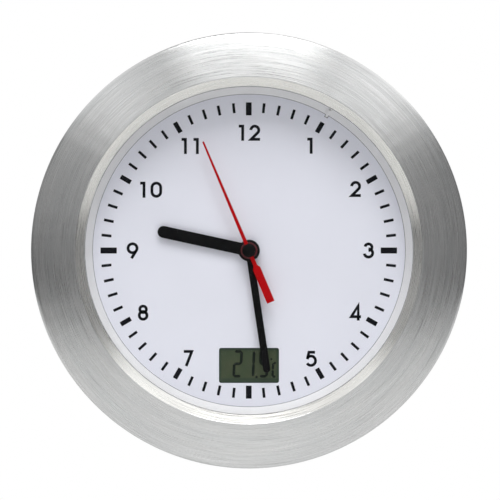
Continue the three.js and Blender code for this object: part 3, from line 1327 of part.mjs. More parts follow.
function hands() {
  const hourBlade = roundEndedBar(HOUR_HAND_LENGTH, HOUR_HAND_WIDTH);
  const minuteBlade = roundEndedBar(MINUTE_HAND_LENGTH, MINUTE_HAND_WIDTH);
  const capFront = capRear + CAP_HEIGHT;
  const capEdge = capFront - CAP_DOME;
  const cap = revolve([
    [0, capRear], [CAP_RADIUS, capRear], [CAP_RADIUS, capEdge - CAP_ROUND],
    [CAP_RADIUS - CAP_ROUND, capEdge], [0, capFront],
  ], HUB_SIDES);
  const hourHub = { radius: HOUR_HUB_RADIUS, bore: hourTube + FIT, rear: hourHandRear };
  const minuteHub = { radius: MINUTE_HUB_RADIUS, bore: minuteTube + FIT, rear: minuteHandRear };
  const secondHub = { radius: SECOND_HUB_RADIUS, bore: SECONDS_ARBOR + FIT, rear: secondHandRear };
  return gathered(
    hand("hour_hand", hourBlade, hourHub, HOUR_HAND_ANGLE, "handBlack"),
    hand("minute_hand", minuteBlade, minuteHub, MINUTE_HAND_ANGLE, "handBlack"),
    hand("second_hand", secondBlade(), secondHub, SECOND_HAND_ANGLE, "handRed"),
    piece("hand_cap", cap, "handBlack"),
  );
}

const clock = gathered(
  bezel(),
  glassPieces(),
  innerRing(),
  dial(),
  backHousing(),
  caseScrews(),
  suctionCups(),
  hanger(),
  batteryDoor(),
  movementBase(),
  movementCover(),
  circuitBoard(),
  secondsTrain(),
  minuteTrain(),
  motionWork(),
  motor("seconds", secondsRotor, SECONDS_IDLER_MODULE, toothToward(SECONDS_ROTOR_ANGLE + 180)),
  motor("minutes", minuteRotor, MINUTE_MODULE, toothToward(MINUTE_ROTOR_ANGLE + 180)),
  buttons(),
  battery(),
  aerial(),
  display(),
  displayWires(),
  hands(),
);

export default clock;
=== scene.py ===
# %% [markdown]
# # A bathroom clock with a brushed aluminium rim
# This is a radio-controlled wall clock for a damp room. It has a broad metal rim, a flat glass,
# a printed dial with a small temperature window, three hands, and a plastic back with suction cups.
# The solid model of every piece is made already and comes in as a fixed frame. Each piece then gets
# its real edges and its real surface. The first step opens the frame and measures it, because
# every later piece is placed by what the frame says.

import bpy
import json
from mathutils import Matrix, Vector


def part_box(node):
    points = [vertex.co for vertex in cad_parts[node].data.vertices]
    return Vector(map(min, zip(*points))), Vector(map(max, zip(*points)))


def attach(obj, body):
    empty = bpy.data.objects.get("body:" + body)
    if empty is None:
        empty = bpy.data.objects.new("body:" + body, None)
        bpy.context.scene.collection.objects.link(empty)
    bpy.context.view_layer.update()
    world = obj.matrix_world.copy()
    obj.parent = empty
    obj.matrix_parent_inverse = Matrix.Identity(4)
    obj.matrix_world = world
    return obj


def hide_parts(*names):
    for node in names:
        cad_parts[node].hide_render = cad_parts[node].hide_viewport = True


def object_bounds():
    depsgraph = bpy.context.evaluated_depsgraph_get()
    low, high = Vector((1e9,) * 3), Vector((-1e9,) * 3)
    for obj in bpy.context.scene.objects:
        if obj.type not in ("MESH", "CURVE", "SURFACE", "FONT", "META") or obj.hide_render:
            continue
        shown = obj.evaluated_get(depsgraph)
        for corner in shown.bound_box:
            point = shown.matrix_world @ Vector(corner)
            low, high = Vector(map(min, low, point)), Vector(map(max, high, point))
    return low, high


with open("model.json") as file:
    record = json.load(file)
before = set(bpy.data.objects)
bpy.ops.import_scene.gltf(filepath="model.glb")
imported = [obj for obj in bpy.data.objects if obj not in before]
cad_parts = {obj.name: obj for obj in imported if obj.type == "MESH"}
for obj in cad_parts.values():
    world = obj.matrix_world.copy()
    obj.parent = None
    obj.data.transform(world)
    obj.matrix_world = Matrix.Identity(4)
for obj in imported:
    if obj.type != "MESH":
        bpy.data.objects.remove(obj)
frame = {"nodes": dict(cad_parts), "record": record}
solid_low, solid_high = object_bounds()
print("the solid clock is", [round(1000 * side, 2) for side in solid_high - solid_low], "mm")

# %% [markdown]
# A clockmaker works in millimetres and Blender in metres, so one helper turns the first into the
# second. Distances out from the wall are called depths here. The wall is the plane y = 0 and the
# dial looks along -Y, so a depth of 25 mm lies at y = -0.025. A second helper reads where a
# solid piece starts and ends, which keeps typed numbers few.

# %% Millimetres and depths
import json
import math
from types import SimpleNamespace

import bmesh
import bpy
from mathutils import Matrix, Vector
from mathutils.geometry import tessellate_polygon

MM = 0.001


def at(x, depth, z):
    """A point in metres, from millimetres across, out from the wall and up."""
    return Vector((x, -depth, z)) * MM


def reach(node):
    """Where a solid piece starts and ends, in millimetres."""
    low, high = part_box(node)
    low, high = low / MM, high / MM
    return SimpleNamespace(
        left=low.x, right=high.x, rear=-high.y, front=-low.y, foot=low.z, top=high.z,
        x=(low.x + high.x) / 2, z=(low.z + high.z) / 2, radius=(high.x - low.x) / 2,
    )


def middle_of(node):
    """Across and up, for the middle of a solid piece."""
    return reach(node).x, reach(node).z


print("the glass is", round(reach("lens").front - reach("lens").rear, 2), "mm thick")

# %% [markdown]
# No real edge is perfectly sharp: a turned, punched or moulded corner always has a small round
# that catches the light. A bevel modifier could add it, but it bevels only what its angle limit
# finds. Rounding the drawn outline before it becomes a mesh is surer, and each corner can
# have its own size.

# %% Round the corners of an outline
def eased(corners, edge=0.15, steps=3):
    """A closed outline with rounded corners. A third number on a corner is its own round."""
    line = []
    for index, corner in enumerate(corners):
        here = Vector(corner[:2])
        back = Vector(corners[index - 1][:2]) - here
        ahead = Vector(corners[(index + 1) % len(corners)][:2]) - here
        wanted = corner[2] if len(corner) > 2 else edge
        # the round stays short of the middle of each side
        cutoff = min(wanted, 0.45 * back.length, 0.45 * ahead.length)
        if cutoff < 0.001:
            line.append(tuple(here))
            continue
        start = here + back.normalized() * cutoff
        end = here + ahead.normalized() * cutoff
        for step in range(steps + 1):
            share = step / steps
            line.append(tuple(
                start * (1 - share) ** 2 + here * 2 * share * (1 - share) + end * share ** 2))
    return line


print("a square gets", len(eased([(0, 0), (1, 0), (1, 1), (0, 1)])), "points")

# %% [markdown]
# Most of the clock is round: rim, glass, seals, cups, screws. On the real object these are turned
# or spun, and the same idea works here. A profile of radius and depth is swept about an axis that
# points to the front. The screw modifier does this too, but a short loop gives exact rings and
# closes the poles, and it can lay the axis along any direction with a matrix.

# %% Turn a profile
def turned(work, profile, sides=96, place=Matrix()):
    """Sweeps (radius, depth) pairs about the axis that points to the front."""
    turns = [2 * math.pi * step / sides for step in range(sides)]
    rings = []
    for radius, depth in profile:
        spots = [(0, 0)] if radius < 0.0005 else [
            (radius * math.sin(turn), radius * math.cos(turn)) for turn in turns]
        rings.append([work.verts.new(place @ at(x, depth, z)) for x, z in spots])
    for first, second in zip(rings, rings[1:] + rings[:1]):
        if len(first) == 1 and len(second) == 1:
            continue
        for step in range(sides):
            following = (step + 1) % sides
            loop = [first[step % len(first)], first[following % len(first)],
                    second[following % len(second)], second[step % len(second)]]
            work.faces.new(list(dict.fromkeys(loop)))


def shifted_to(x=0.0, z=0.0, depth=0.0):
    """A matrix that carries a piece to its place."""
    return Matrix.Translation(at(x, depth, z))


def tube(work, bore, radius, rear, front, rounds, sides, place=Matrix(), steps=3):
    """A turned sleeve or peg. The rounds go bore, outside, outside, bore, from rear to front."""
    corners = zip((bore, radius, radius, bore), (rear, rear, front, front), rounds)
    turned(work, eased(list(corners), steps=steps), sides, place)


trial = bmesh.new()
turned(trial, [(0, 0), (1, 0), (1, 1), (0, 1)], 12)
print("a turned disc of 12 sides has", len(trial.faces), "faces")
trial.free()

# %% [markdown]
# The rest is mostly flat: hands, dial, ticks, plates and the door. These are punched or moulded
# from an outline. Moving an outline sideways gives its rounded edge, and also turns a pen
# stroke into a ribbon of even width, which is how the numerals are made later.

# %% Move a line sideways
def beside(points, amount, closed=True):
    """The same line moved to its left, with its corners kept."""
    line = []
    for index, point in enumerate(points):
        here = Vector(point)
        has_back = closed or index > 0
        has_ahead = closed or index < len(points) - 1
        back = here - Vector(points[index - 1]) if has_back else None
        ahead = Vector(points[(index + 1) % len(points)]) - here if has_ahead else None
        back, ahead = (back or ahead).normalized(), (ahead or back).normalized()
        side = Vector((-back.y - ahead.y, back.x + ahead.x)).normalized()
        lean = max(0.35, side.dot(Vector((-back.y, back.x))))  # no long spike at a sharp corner
        line.append(tuple(here + side * (amount / lean)))
    return line


def ribbon(points, width, closed=False):
    """The outlines of a pen stroke along a line."""
    left = beside(points, width / 2, closed)
    right = beside(points, -width / 2, closed)
    return [left, right] if closed else [left + right[::-1]]


print("a ribbon along 3 points has", len(ribbon([(0, 0), (0, 5), (5, 5)], 1)[0]), "corners")

# %% [markdown]
# A plate is its outline repeated at a few depths, a little smaller at the two faces, so that the
# edge comes out round. Holes are further outlines that run the other way. Blender's own
# tessellator fills the faces, holes included. A filled curve object with a bevel would look the
# same, but its holes shrink or grow with the direction of the curve, and here they stay exact.

# %% Cut a plate
def running(loop, anticlockwise):
    """The outline, turned round if it runs the wrong way."""
    area = sum(a[0] * b[1] - b[0] * a[1] for a, b in zip(loop, loop[1:] + loop[:1]))
    return list(loop) if (area > 0) == anticlockwise else list(loop)[::-1]


def plate(work, outlines, rear, front, edge=0.08, steps=2, place=Matrix()):
    """A flat piece from its outside and its holes, with rounded edges."""
    loops = [running(loop, index == 0) for index, loop in enumerate(outlines)]
    bends = [math.pi / 2 * step / steps for step in range(steps + 1)]
    levels = [(edge * (1 - math.sin(bend)), rear + edge * (1 - math.cos(bend))) for bend in bends]
    levels += [(inset, rear + front - depth) for inset, depth in levels[::-1]]
    rings = []
    for inset, depth in levels:
        moved = [beside(loop, inset) if inset > 1e-5 else loop for loop in loops]
        rings.append([[work.verts.new(place @ at(x, depth, z)) for x, z in loop] for loop in moved])
    for lower, upper in zip(rings, rings[1:]):
        for low_loop, high_loop in zip(lower, upper):
            for step, spot in enumerate(low_loop):
                after = (step + 1) % len(low_loop)
                work.faces.new([spot, low_loop[after], high_loop[after], high_loop[step]])
    flat = [[Vector((x, z, 0)) for x, z in beside(loop, edge)] for loop in loops]
    corners = tessellate_polygon(flat)
    for cap in (rings[0], rings[-1]):
        spots = [spot for loop in cap for spot in loop]
        for triangle in corners:
            work.faces.new([spots[number] for number in triangle])


def oblong(width, height, corner, x=0.0, z=0.0, steps=6):
    """A rectangle with round corners, about a centre."""
    right, top = width / 2, height / 2
    corners = [(x - right, z - top), (x + right, z - top),
               (x + right, z + top), (x - right, z + top)]
    return eased(corners, corner, steps)


def round_line(radius, x=0.0, z=0.0, sides=48):
    """A circle as a closed line."""
    turns = [2 * math.pi * step / sides for step in range(sides)]
    return [(x + radius * math.sin(turn), z + radius * math.cos(turn)) for turn in turns]


print("an oblong has", len(oblong(4, 3, 0.5)), "points")

# %% [markdown]
# Every mesh ends the same way. Its faces are turned outward and shaded smooth except across real
# corners, it takes its finish, it rides on the part of the clock that it moves with, and the
# solid piece that it stands for is hidden. Doing this in one helper means that none is forgotten.
# The weighted normal modifier lets the large faces lead the shading, so that a flat face stays
# flat right up to its rounded edge.

# %% Finish a piece and hand it to the frame
def settle(name, work, finish, *nodes, rides="case", crease=40):
    """Makes an object of the mesh, in the place of the solid pieces that it stands for."""
    bmesh.ops.recalc_face_normals(work, faces=work.faces)
    mesh = bpy.data.meshes.new(name)
    work.to_mesh(mesh)
    work.free()
    for face in mesh.polygons:
        face.use_smooth = True
    mesh.set_sharp_from_angle(angle=math.radians(crease))
    mesh.materials.append(finish)
    made = bpy.data.objects.new(name, mesh)
    bpy.context.scene.collection.objects.link(made)
    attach(made, rides)
    if nodes:
        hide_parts(*nodes)
    made.modifiers.new("large faces lead", "WEIGHTED_NORMAL").keep_sharp = True
    print(name, "has", len(mesh.polygons), "faces")
    return made


# %% [markdown]
# A finish is a small tree of nodes. Most need the same start: a glossy base shader and the place
# of a point on the piece in millimetres, so that grain and marks have their true size. The
# place comes from object coordinates, which move with a hand or a door. A value that is the same
# everywhere is set on the shader itself, and one that changes is wired into it.

# %% Start a finish
def add(tree, kind, inputs=(), **settings):
    """A node with its settings. Each input is a value, or a socket to be wired."""
    made = tree.nodes.new("ShaderNode" + kind)
    for setting, value in settings.items():
        setattr(made, setting, value)
    for socket, value in dict(inputs).items():
        if isinstance(value, bpy.types.NodeSocket):
            tree.links.new(value, made.inputs[socket])
        else:
            made.inputs[socket].default_value = value
    return made


def new_finish(name, colour, roughness, metallic=0.0, **gloss):
    """A finish with its base shader, and the place in millimetres as a socket."""
    if name in bpy.data.materials:  # the frame's plain finish of that name makes room
        bpy.data.materials.remove(bpy.data.materials[name])
    finish = bpy.data.materials.new(name)
    finish.use_nodes = True
    tree = finish.node_tree
    shader = tree.nodes["Principled BSDF"]
    shader.inputs["Base Color"].default_value = (*colour, 1)
    shader.inputs["Roughness"].default_value = roughness
    shader.inputs["Metallic"].default_value = metallic
    for socket, value in gloss.items():
        shader.inputs[socket.replace("_", " ")].default_value = value
    places = add(tree, "TexCoord").outputs["Object"]
    scaled = add(tree, "VectorMath", {0: places, "Scale": 1 / MM}, operation="SCALE")
    return finish, tree, shader, scaled.outputs[0]


def drive(tree, shader, sockets):
    """Wires sockets into the shader's inputs, by their names."""
    for name, socket in sockets.items():
        tree.links.new(socket, shader.inputs[name])


print("a finish starts with its shader and the place in millimetres")

# %% [markdown]
# What makes a surface look real are numbers and colours that change from place to place. Blender
# takes one node for each step of the reckoning. That is slow to write out, so each kind of step
# has a short name here: arithmetic, the distance from an axis, a change of range, a slow wander,
# a mix of two colours, and a height that tilts the light as a fine relief would.

# %% Numbers and colours that change over a surface
def reckon(tree, operation, *values):
    """One step of arithmetic on values and sockets."""
    return add(tree, "Math", dict(enumerate(values)), operation=operation).outputs[0]


def length_of(tree, **sides):
    """How far a point lies from an axis, from its two distances sideways."""
    flat = add(tree, "CombineXYZ", sides).outputs[0]
    return add(tree, "VectorMath", {0: flat}, operation="LENGTH").outputs["Value"]


def ranged(tree, value, start, end, low=0.0, high=1.0, **settings):
    """A value carried from one range to another, and held at the ends."""
    return add(tree, "MapRange", {"Value": value, "From Min": start, "From Max": end,
                                  "To Min": low, "To Max": high}, **settings).outputs[0]


def wavering(tree, places, size, low, high, detail=3.0):
    """A number that wanders between two values over patches of a size in millimetres."""
    noise = add(tree, "TexNoise", {"Vector": places, "Scale": 1 / size, "Detail": detail})
    return ranged(tree, noise.outputs["Fac"], 0.3, 0.7, low, high)


def between(tree, share, first, second):
    """A colour between two, by a share."""
    mixed = add(tree, "Mix", {"Factor": share}, data_type="RGBA")
    for index, colour in ((6, first), (7, second)):
        if isinstance(colour, bpy.types.NodeSocket):
            tree.links.new(colour, mixed.inputs[index])
        else:
            mixed.inputs[index].default_value = (*colour, 1)
    return mixed.outputs[2]


def raised(tree, height, relief, normal=None):
    """A bumped normal from a height, with the relief in millimetres."""
    inputs = {"Height": height, "Strength": 1.0, "Distance": relief * MM}
    if normal:
        inputs["Normal"] = normal
    return add(tree, "Bump", inputs).outputs[0]


def grained(tree, places, scale, detail, relief):
    """A bumped normal with an even grain."""
    grain = add(tree, "TexNoise", {"Vector": places, "Scale": scale, "Detail": detail})
    return raised(tree, grain.outputs["Fac"], relief)


print("finishes can be mixed now")

# %% [markdown]
# Moulded and painted surfaces differ in the same few ways: how the colour drifts over
# centimetres, how fine the grain is, how deep it stands, and how the gloss changes with handling.
# One recipe with those numbers covers plastics, rubber and lacquer, and the special finishes are
# built one by one where they are needed. After the colour come the roughness, the size of the
# grain and its relief in millimetres, and the share and the size of the drift.

# %% The recipe for moulded and painted finishes
def moulded(name, colour, roughness, grain, relief, drift, drift_size=18.0, **gloss):
    """Colour drift over centimetres, a fine grain in relief, and gloss that wanders a little."""
    finish, tree, shader, places = new_finish(name, colour, roughness, **gloss)
    darker = [channel * (1 - drift) for channel in colour]
    lighter = [min(1, channel * (1 + drift)) for channel in colour]
    patches = wavering(tree, places, drift_size, 0, 1)
    drive(tree, shader, {
        "Base Color": between(tree, patches, darker, lighter),
        "Roughness": wavering(tree, places, 4 * grain, roughness * 0.88, min(1, roughness * 1.12)),
        "Normal": grained(tree, places, 1 / grain, 4.0, relief)})
    return finish


white_plastic = moulded("white_plastic", (0.90, 0.90, 0.90), 0.42, 0.5, 0.004, 0.02)
dial_print = moulded("dial_print", (0.866, 0.878, 0.97), 0.62, 0.25, 0.002, 0.012, 30)
housing_plastic = moulded("housing_plastic", (0.72, 0.72, 0.70), 0.5, 0.32, 0.02, 0.03)
black_rubber = moulded("black_rubber", (0.028, 0.028, 0.03), 0.75, 0.2, 0.008, 0.15, 6)
movement_plastic = moulded("movement_plastic", (0.022, 0.023, 0.026), 0.45, 0.3, 0.01, 0.12, 9)
gear_plastic = moulded("gear_plastic", (0.80, 0.76, 0.66), 0.4, 0.25, 0.003, 0.04, 3)
button_grey = moulded("button_grey", (0.25, 0.26, 0.28), 0.48, 0.2, 0.006, 0.06, 2)
hand_black = moulded("hand_black", (0.0048, 0.0048, 0.0054), 0.36, 0.15, 0.0012, 0.2, 8,
                     Specular_IOR_Level=0.07)
hand_red = moulded("hand_red", (0.46, 0.0015, 0.004), 0.38, 0.15, 0.0012, 0.06, 8,
                   Specular_IOR_Level=0.07)
print("nine moulded and painted finishes")

# %% [markdown]
# The rim is spun from aluminium sheet and brushed while it turns, so every scratch runs round the
# clock. Light then spreads across the scratches, toward and away from the centre, and makes
# fans of light that stand still as the eye moves round. An anisotropic shader does exactly that
# once its tangent runs round the axis. The scratches are noise that changes fast with the radius
# and slowly with the angle. The angle enters as sine and cosine, so the pattern has no seam. Where
# the brush pressed harder the metal lies a hair lower, and that gives faint rays across the rim.

# %% Brushed aluminium
DULL_BANDS = (0.945, 0.953, 0.958)


def brushed(name, colour, roughness, lines=0.13, rays=0.03, spread=0.9):
    """A metal brushed round the axis. The lines have a contrast, the rays a relief."""
    finish, tree, shader, places = new_finish(name, colour, roughness, 1.0)
    parts = add(tree, "SeparateXYZ", {0: places}).outputs
    radius = length_of(tree, X=parts["X"], Z=parts["Z"])
    flat = add(tree, "CombineXYZ", {"X": parts["X"], "Z": parts["Z"]}).outputs[0]
    heading = add(tree, "VectorMath", {0: flat}, operation="NORMALIZE").outputs[0]

    def along(per_mm, turns, detail=4.0):
        """Noise with so many lines to a millimetre and so many changes round the rim."""
        around = add(tree, "VectorMath", {0: heading, "Scale": turns}, operation="SCALE").outputs[0]
        lane = add(tree, "CombineXYZ", {"Y": reckon(tree, "MULTIPLY", radius, per_mm)}).outputs[0]
        spot = add(tree, "VectorMath", {0: around, 1: lane}, operation="ADD").outputs[0]
        noise = add(tree, "TexNoise", {"Vector": spot, "Scale": 1.0, "Detail": detail,
                                       "Roughness": 0.6})
        return ranged(tree, noise.outputs["Fac"], 0.3, 0.7)

    hair, streak, band = along(5.0, 3.0), along(2.1, 3.6, 2.0), along(0.25, 2.0, 1.0)
    ray = along(0.02, 9.0, 1.0)
    scratch = ranged(tree, along(2.2, 2.5, 1.0), 0.93, 1.0, 1.0, 0.8)
    both = add(tree, "Mix", {"Factor": 0.6, 2: hair, 3: streak}).outputs[0]
    fine_lines = between(tree, both, [channel * (1 - lines) for channel in colour],
                         [min(1, channel * (1 + lines)) for channel in colour])
    tinted = add(tree, "Mix", {"Factor": band, 6: fine_lines, 7: (*DULL_BANDS, 1)},
                 data_type="RGBA", blend_type="MULTIPLY")
    scratched = add(tree, "VectorMath", {0: tinted.outputs[2], "Scale": scratch}, operation="SCALE")
    shader.inputs["Anisotropic"].default_value = spread
    shader.inputs["Anisotropic Rotation"].default_value = 0.25
    drive(tree, shader, {
        "Base Color": scratched.outputs[0],
        "Roughness": ranged(tree, hair, 0.3, 0.7, roughness * 0.8, roughness * 1.2),
        "Normal": raised(tree, ray, rays, raised(tree, hair, 0.0006)),
        "Tangent": add(tree, "Tangent", direction_type="RADIAL", axis="Y").outputs[0]})
    return finish


brushed_aluminium = brushed("brushed_aluminium", (0.597, 0.599, 0.597), 0.31)
turned_chamfer = brushed("turned_chamfer", (0.82, 0.812, 0.78), 0.30,
                         lines=0.03, rays=0.01, spread=0.6)
print("the rim's finish has", len(brushed_aluminium.node_tree.nodes), "nodes")

# %% [markdown]
# The rim itself is one turned shell. Its face falls gently outward from the inner edge and is a
# little crowned, a polished chamfer leads in to the glass, and a short skirt hides the plastic
# back. Behind the face stand four bosses for the case screws. With 256 sides the outline
# stays round in the closest view. The face needs several rings so that its curve shades
# evenly, because one long facet would reflect like a flat strip.

# %% The aluminium rim
rim_box, back_box = reach("bezel"), reach("back_housing")
FIT = 0.15
FACE_WIDE, FACE_FALL, CROWN = 17.5, 4.0, 1.0
CHAMFER, RIM_WALL, LIP_THICK = 3.5, 1.6, 0.9
OUTER = rim_box.radius
FACE_INNER = OUTER - FACE_WIDE
OPENING = FACE_INNER - CHAMFER
LIP_FRONT = rim_box.front - CHAMFER
LIP_REAR = LIP_FRONT - LIP_THICK
FLANGE_REAR, FLANGE_FRONT = back_box.rear + 16.55, back_box.rear + 19.55
BORE, BOSS_RADIUS = 1.25, 2.7
CASE_SCREW_INSET = 3.6
CASE_SCREW_RADIUS = OUTER - RIM_WALL - CASE_SCREW_INSET
CASE_SCREW_TURNS = [45, 135, 225, 315]


def face_depth(radius):
    """How far out from the wall the crowned face lies at a radius."""
    share = (radius - FACE_INNER) / (OUTER - FACE_INNER)
    return rim_box.front - FACE_FALL * share + CROWN * share * (1 - share)


def on_dial(radius, turn):
    """Across and up, for a distance from the centre and an angle clockwise from twelve."""
    return radius * math.sin(math.radians(turn)), radius * math.cos(math.radians(turn))


def rim_profile():
    """The section of the rim, from the lip over the face to the skirt and back inside."""
    crown = [FACE_INNER + share * (OUTER - 1 - FACE_INNER) for share in (0.2, 0.4, 0.6, 0.8)]
    inner, under = OUTER - RIM_WALL, OPENING + 2.8
    return eased([
        (OPENING, LIP_REAR, 0.1), (OPENING, LIP_FRONT, 0.25), (FACE_INNER, rim_box.front, 0.3),
        *[(radius, face_depth(radius), 0) for radius in crown],
        (OUTER, face_depth(OUTER), 1.0), (OUTER, rim_box.rear, 0.3), (inner, rim_box.rear, 0.3),
        (inner, face_depth(inner) - RIM_WALL, 1.0),
        (under + RIM_WALL, face_depth(under + RIM_WALL) - RIM_WALL, 1.0), (under, LIP_REAR, 0.3),
    ], steps=6)


rim = bmesh.new()
turned(rim, rim_profile(), 256)
boss_rear = FLANGE_FRONT + FIT
boss_front = face_depth(CASE_SCREW_RADIUS) - RIM_WALL / 2
for turn in CASE_SCREW_TURNS:
    tube(rim, BORE, BOSS_RADIUS, boss_rear, boss_front, [0.2] * 4, 32,
         shifted_to(*on_dial(CASE_SCREW_RADIUS, turn)))
brushed_rim = settle("brushed_rim", rim, brushed_aluminium, "bezel", crease=50)
brushed_rim.data.materials.append(turned_chamfer)
for face in brushed_rim.data.polygons:
    middle = Vector((face.center.x, face.center.z)).length / MM
    if OPENING - 1 < middle < FACE_INNER - 0.15 and -face.center.y / MM > LIP_FRONT - 0.1:
        face.material_index = 1

# %% [markdown]
# The glass is a plain disc with ground edges. In a render such a thin pane can be done with full
# refraction, which is slow and noisy over a dial, or as a nearly clear coat that only adds
# gloss. The clear coat is right here, since the pane is flat and nobody sees it bend the
# light. It is a little denser where it is seen at a slant, as real glass is.

# %% The front glass
def clear_pane(name):
    """Glass that is nearly clear from the front and shows more of itself at a slant."""
    finish, tree, shader, places = new_finish(name, (0.06, 0.075, 0.07), 0.03)
    facing = add(tree, "LayerWeight", {"Blend": 0.3}).outputs["Facing"]
    slant = ranged(tree, facing, 0.1, 1.0, 0.008, 0.5)
    smear = wavering(tree, places, 22, 0.8, 1.2)
    drive(tree, shader, {"Alpha": reckon(tree, "MULTIPLY", slant, smear),
                         "Roughness": wavering(tree, places, 9, 0.02, 0.05)})
    return finish


clear_glass = clear_pane("clear_glass")
glass_box = reach("lens")
pane = bmesh.new()
tube(pane, 0, glass_box.radius, glass_box.rear, glass_box.front, (0, 0.3, 0.3, 0), 192)
settle("front_glass", pane, clear_glass, "lens")

# %% [markdown]
# Two rubber rings keep steam out: one under the lip of the rim, in front of the glass, and one
# between the glass and the plastic back. They are extruded and joined into loops, so a
# turned section with generous rounds is all they need.

# %% The seals of the glass
for node, inner, name in (
        ("lens_gasket", OPENING - 0.08, "front_gasket"),
        ("housing_seal", back_box.radius - 11.95, "rear_seal")):
    span = reach(node)
    seal = bmesh.new()
    tube(seal, inner, span.radius, span.rear, span.front, [0.12] * 4, 160)
    settle(name, seal, black_rubber, node)

# %% [markdown]
# Behind the glass a pale plastic ring runs from the opening down to the dial. It hides the gap
# and makes the dial look deeper. One small rib near one o'clock keys the dial against
# turning. The ring is turned, and the rib is a thin plate that leans with the ring's wall, laid
# along its radius with a matrix.

# %% The pale inner ring
def clockwise(turn):
    """A matrix that turns a piece about the axis of the hands, by degrees from twelve."""
    return Matrix.Rotation(math.radians(turn), 4, "Y")


ALONG_RADIUS = Matrix(((0, 1, 0, 0), (0, 0, -1, 0), (1, 0, 0, 0), (0, 0, 0, 1)))
ring_box = reach("inner_ring")
RING_FOOT, RING_BACK, seat = OPENING - 2.5, OPENING + 2, ring_box.rear + 1.6
pale_ring = bmesh.new()
turned(pale_ring, eased([
    (RING_FOOT, ring_box.rear, 0.15), (ring_box.radius, ring_box.rear, 0.2),
    (ring_box.radius, seat, 0.2), (RING_BACK, seat, 0.4),
    (RING_BACK, ring_box.front, 0.3), (OPENING, ring_box.front, 0.3)], steps=4), 192)
RIB_TURN, RIB_PROUD = 30, 0.9
rib_top = ring_box.front - 0.3
rib = [(RING_FOOT - RIB_PROUD, ring_box.rear), (OPENING + 1, ring_box.rear),
       (OPENING + 1, rib_top), (OPENING - RIB_PROUD, rib_top)]
plate(pale_ring, [rib], -0.5, 0.5, 0.12, place=clockwise(RIB_TURN) @ ALONG_RADIUS)
settle("pale_ring", pale_ring, white_plastic, "inner_ring")

# %% [markdown]
# The dial is a printed disc with a hole for the hands and a window for the display. Its face has
# a faint lavender white, which the finish already has. The printed marks are their own mesh, a
# film only hundredths of a millimetre thick on the face. A texture could carry them too, but
# drawn marks stay sharp at any distance and need no image.

# %% The dial
dial_box = reach("dial")
WINDOW_Z, WINDOW_WIDE, WINDOW_HIGH, HANDS_HOLE = -45.2, 23.6, 13.8, 3.55
dial_sheet = bmesh.new()
plate(dial_sheet, [
    round_line(dial_box.radius, sides=160), round_line(HANDS_HOLE, sides=48),
    oblong(WINDOW_WIDE, WINDOW_HIGH, 1.0, 0, WINDOW_Z)], dial_box.rear, dial_box.front, 0.06)
settle("dial_sheet", dial_sheet, dial_print, "dial")

# %% [markdown]
# The minute marks are bars of four kinds: fine ones for the minutes, broad ones for the hours,
# heavier ones at twelve and six, and the longest at three and nine. All end close to one circle,
# whose middle lies a tenth of a millimetre left of the hands, as a print may. A loop over sixty
# places draws them, and the bar's size follows from its number. A hairline circle of ink at the
# foot of the pale ring is painted shadow where the ring meets the dial, and a small dark patch
# round the ring's rib is the painted shadow of its slot.

# %% The minute marks
ink = moulded("ink", (0.0045, 0.0048, 0.008), 0.5, 0.12, 0.001, 0.3, 5,
              Specular_IOR_Level=0.12)
INK_THICK = 0.02
PRINT_SHIFT = shifted_to(-0.1, 0)
marks = bmesh.new()


def press(outlines, place=Matrix()):
    """Prints a filled outline on the dial, as a thin film of ink."""
    plate(marks, outlines, dial_box.front, dial_box.front + INK_THICK, 0.005, 1, place)


def bar_size(minute):
    """Length and width of the mark at a minute, and where it ends."""
    if minute in (15, 45):
        return 6.4, 2.35, 58.3
    if minute in (0, 30):
        return 5.1, 2.25, 58.25
    if minute % 5 == 0:
        return 4.5, 1.85, 58.1
    return 3.9, 1.08, 58.2


def bar(wide, foot, top):
    """A bar that points to twelve, between two distances from the centre."""
    return [(-wide / 2, foot), (wide / 2, foot), (wide / 2, top), (-wide / 2, top)]


# painted shadow: a hairline circle of dark ink where the pale ring meets the dial
SHADOW_LINE_OUTER, SHADOW_LINE_INNER = RING_FOOT + 0.1, RING_FOOT - 0.08
press([round_line(SHADOW_LINE_OUTER, sides=160), round_line(SHADOW_LINE_INNER, sides=160)])
for minute in range(60):
    length, width, end = bar_size(minute)
    press([eased(bar(width, end - length, end), 0.08, 2)], PRINT_SHIFT @ clockwise(6 * minute))
# painted shadow: a dark patch of ink round the rib, for the shade of its slot
press([bar(1.36, SHADOW_LINE_INNER - 1.0, SHADOW_LINE_OUTER)], clockwise(RIB_TURN))
print("sixty marks and the slot of the rib,", len(marks.faces), "faces")

# %% [markdown]
# The numerals are plain ones from a compass and ruler alphabet: round bowls, straight stems, one
# even pen. Each digit is therefore a line or two, drawn along the middle of the pen, and a
# ribbon makes ink of it. The digits are set one by one so that their widths and gaps match the
# real dial. Blender's text object would bring a typeface of its own.

# %% Draw the digits
PEN = 1.12
TALL = 6.3


def bow(x, z, wide, high, start, end, steps=20):
    """Points on an arc of an ellipse. Angles run clockwise from the top."""
    turns = [math.radians(start + (end - start) * step / steps) for step in range(steps + 1)]
    return [(x + wide * math.sin(turn), z + high * math.cos(turn)) for turn in turns]


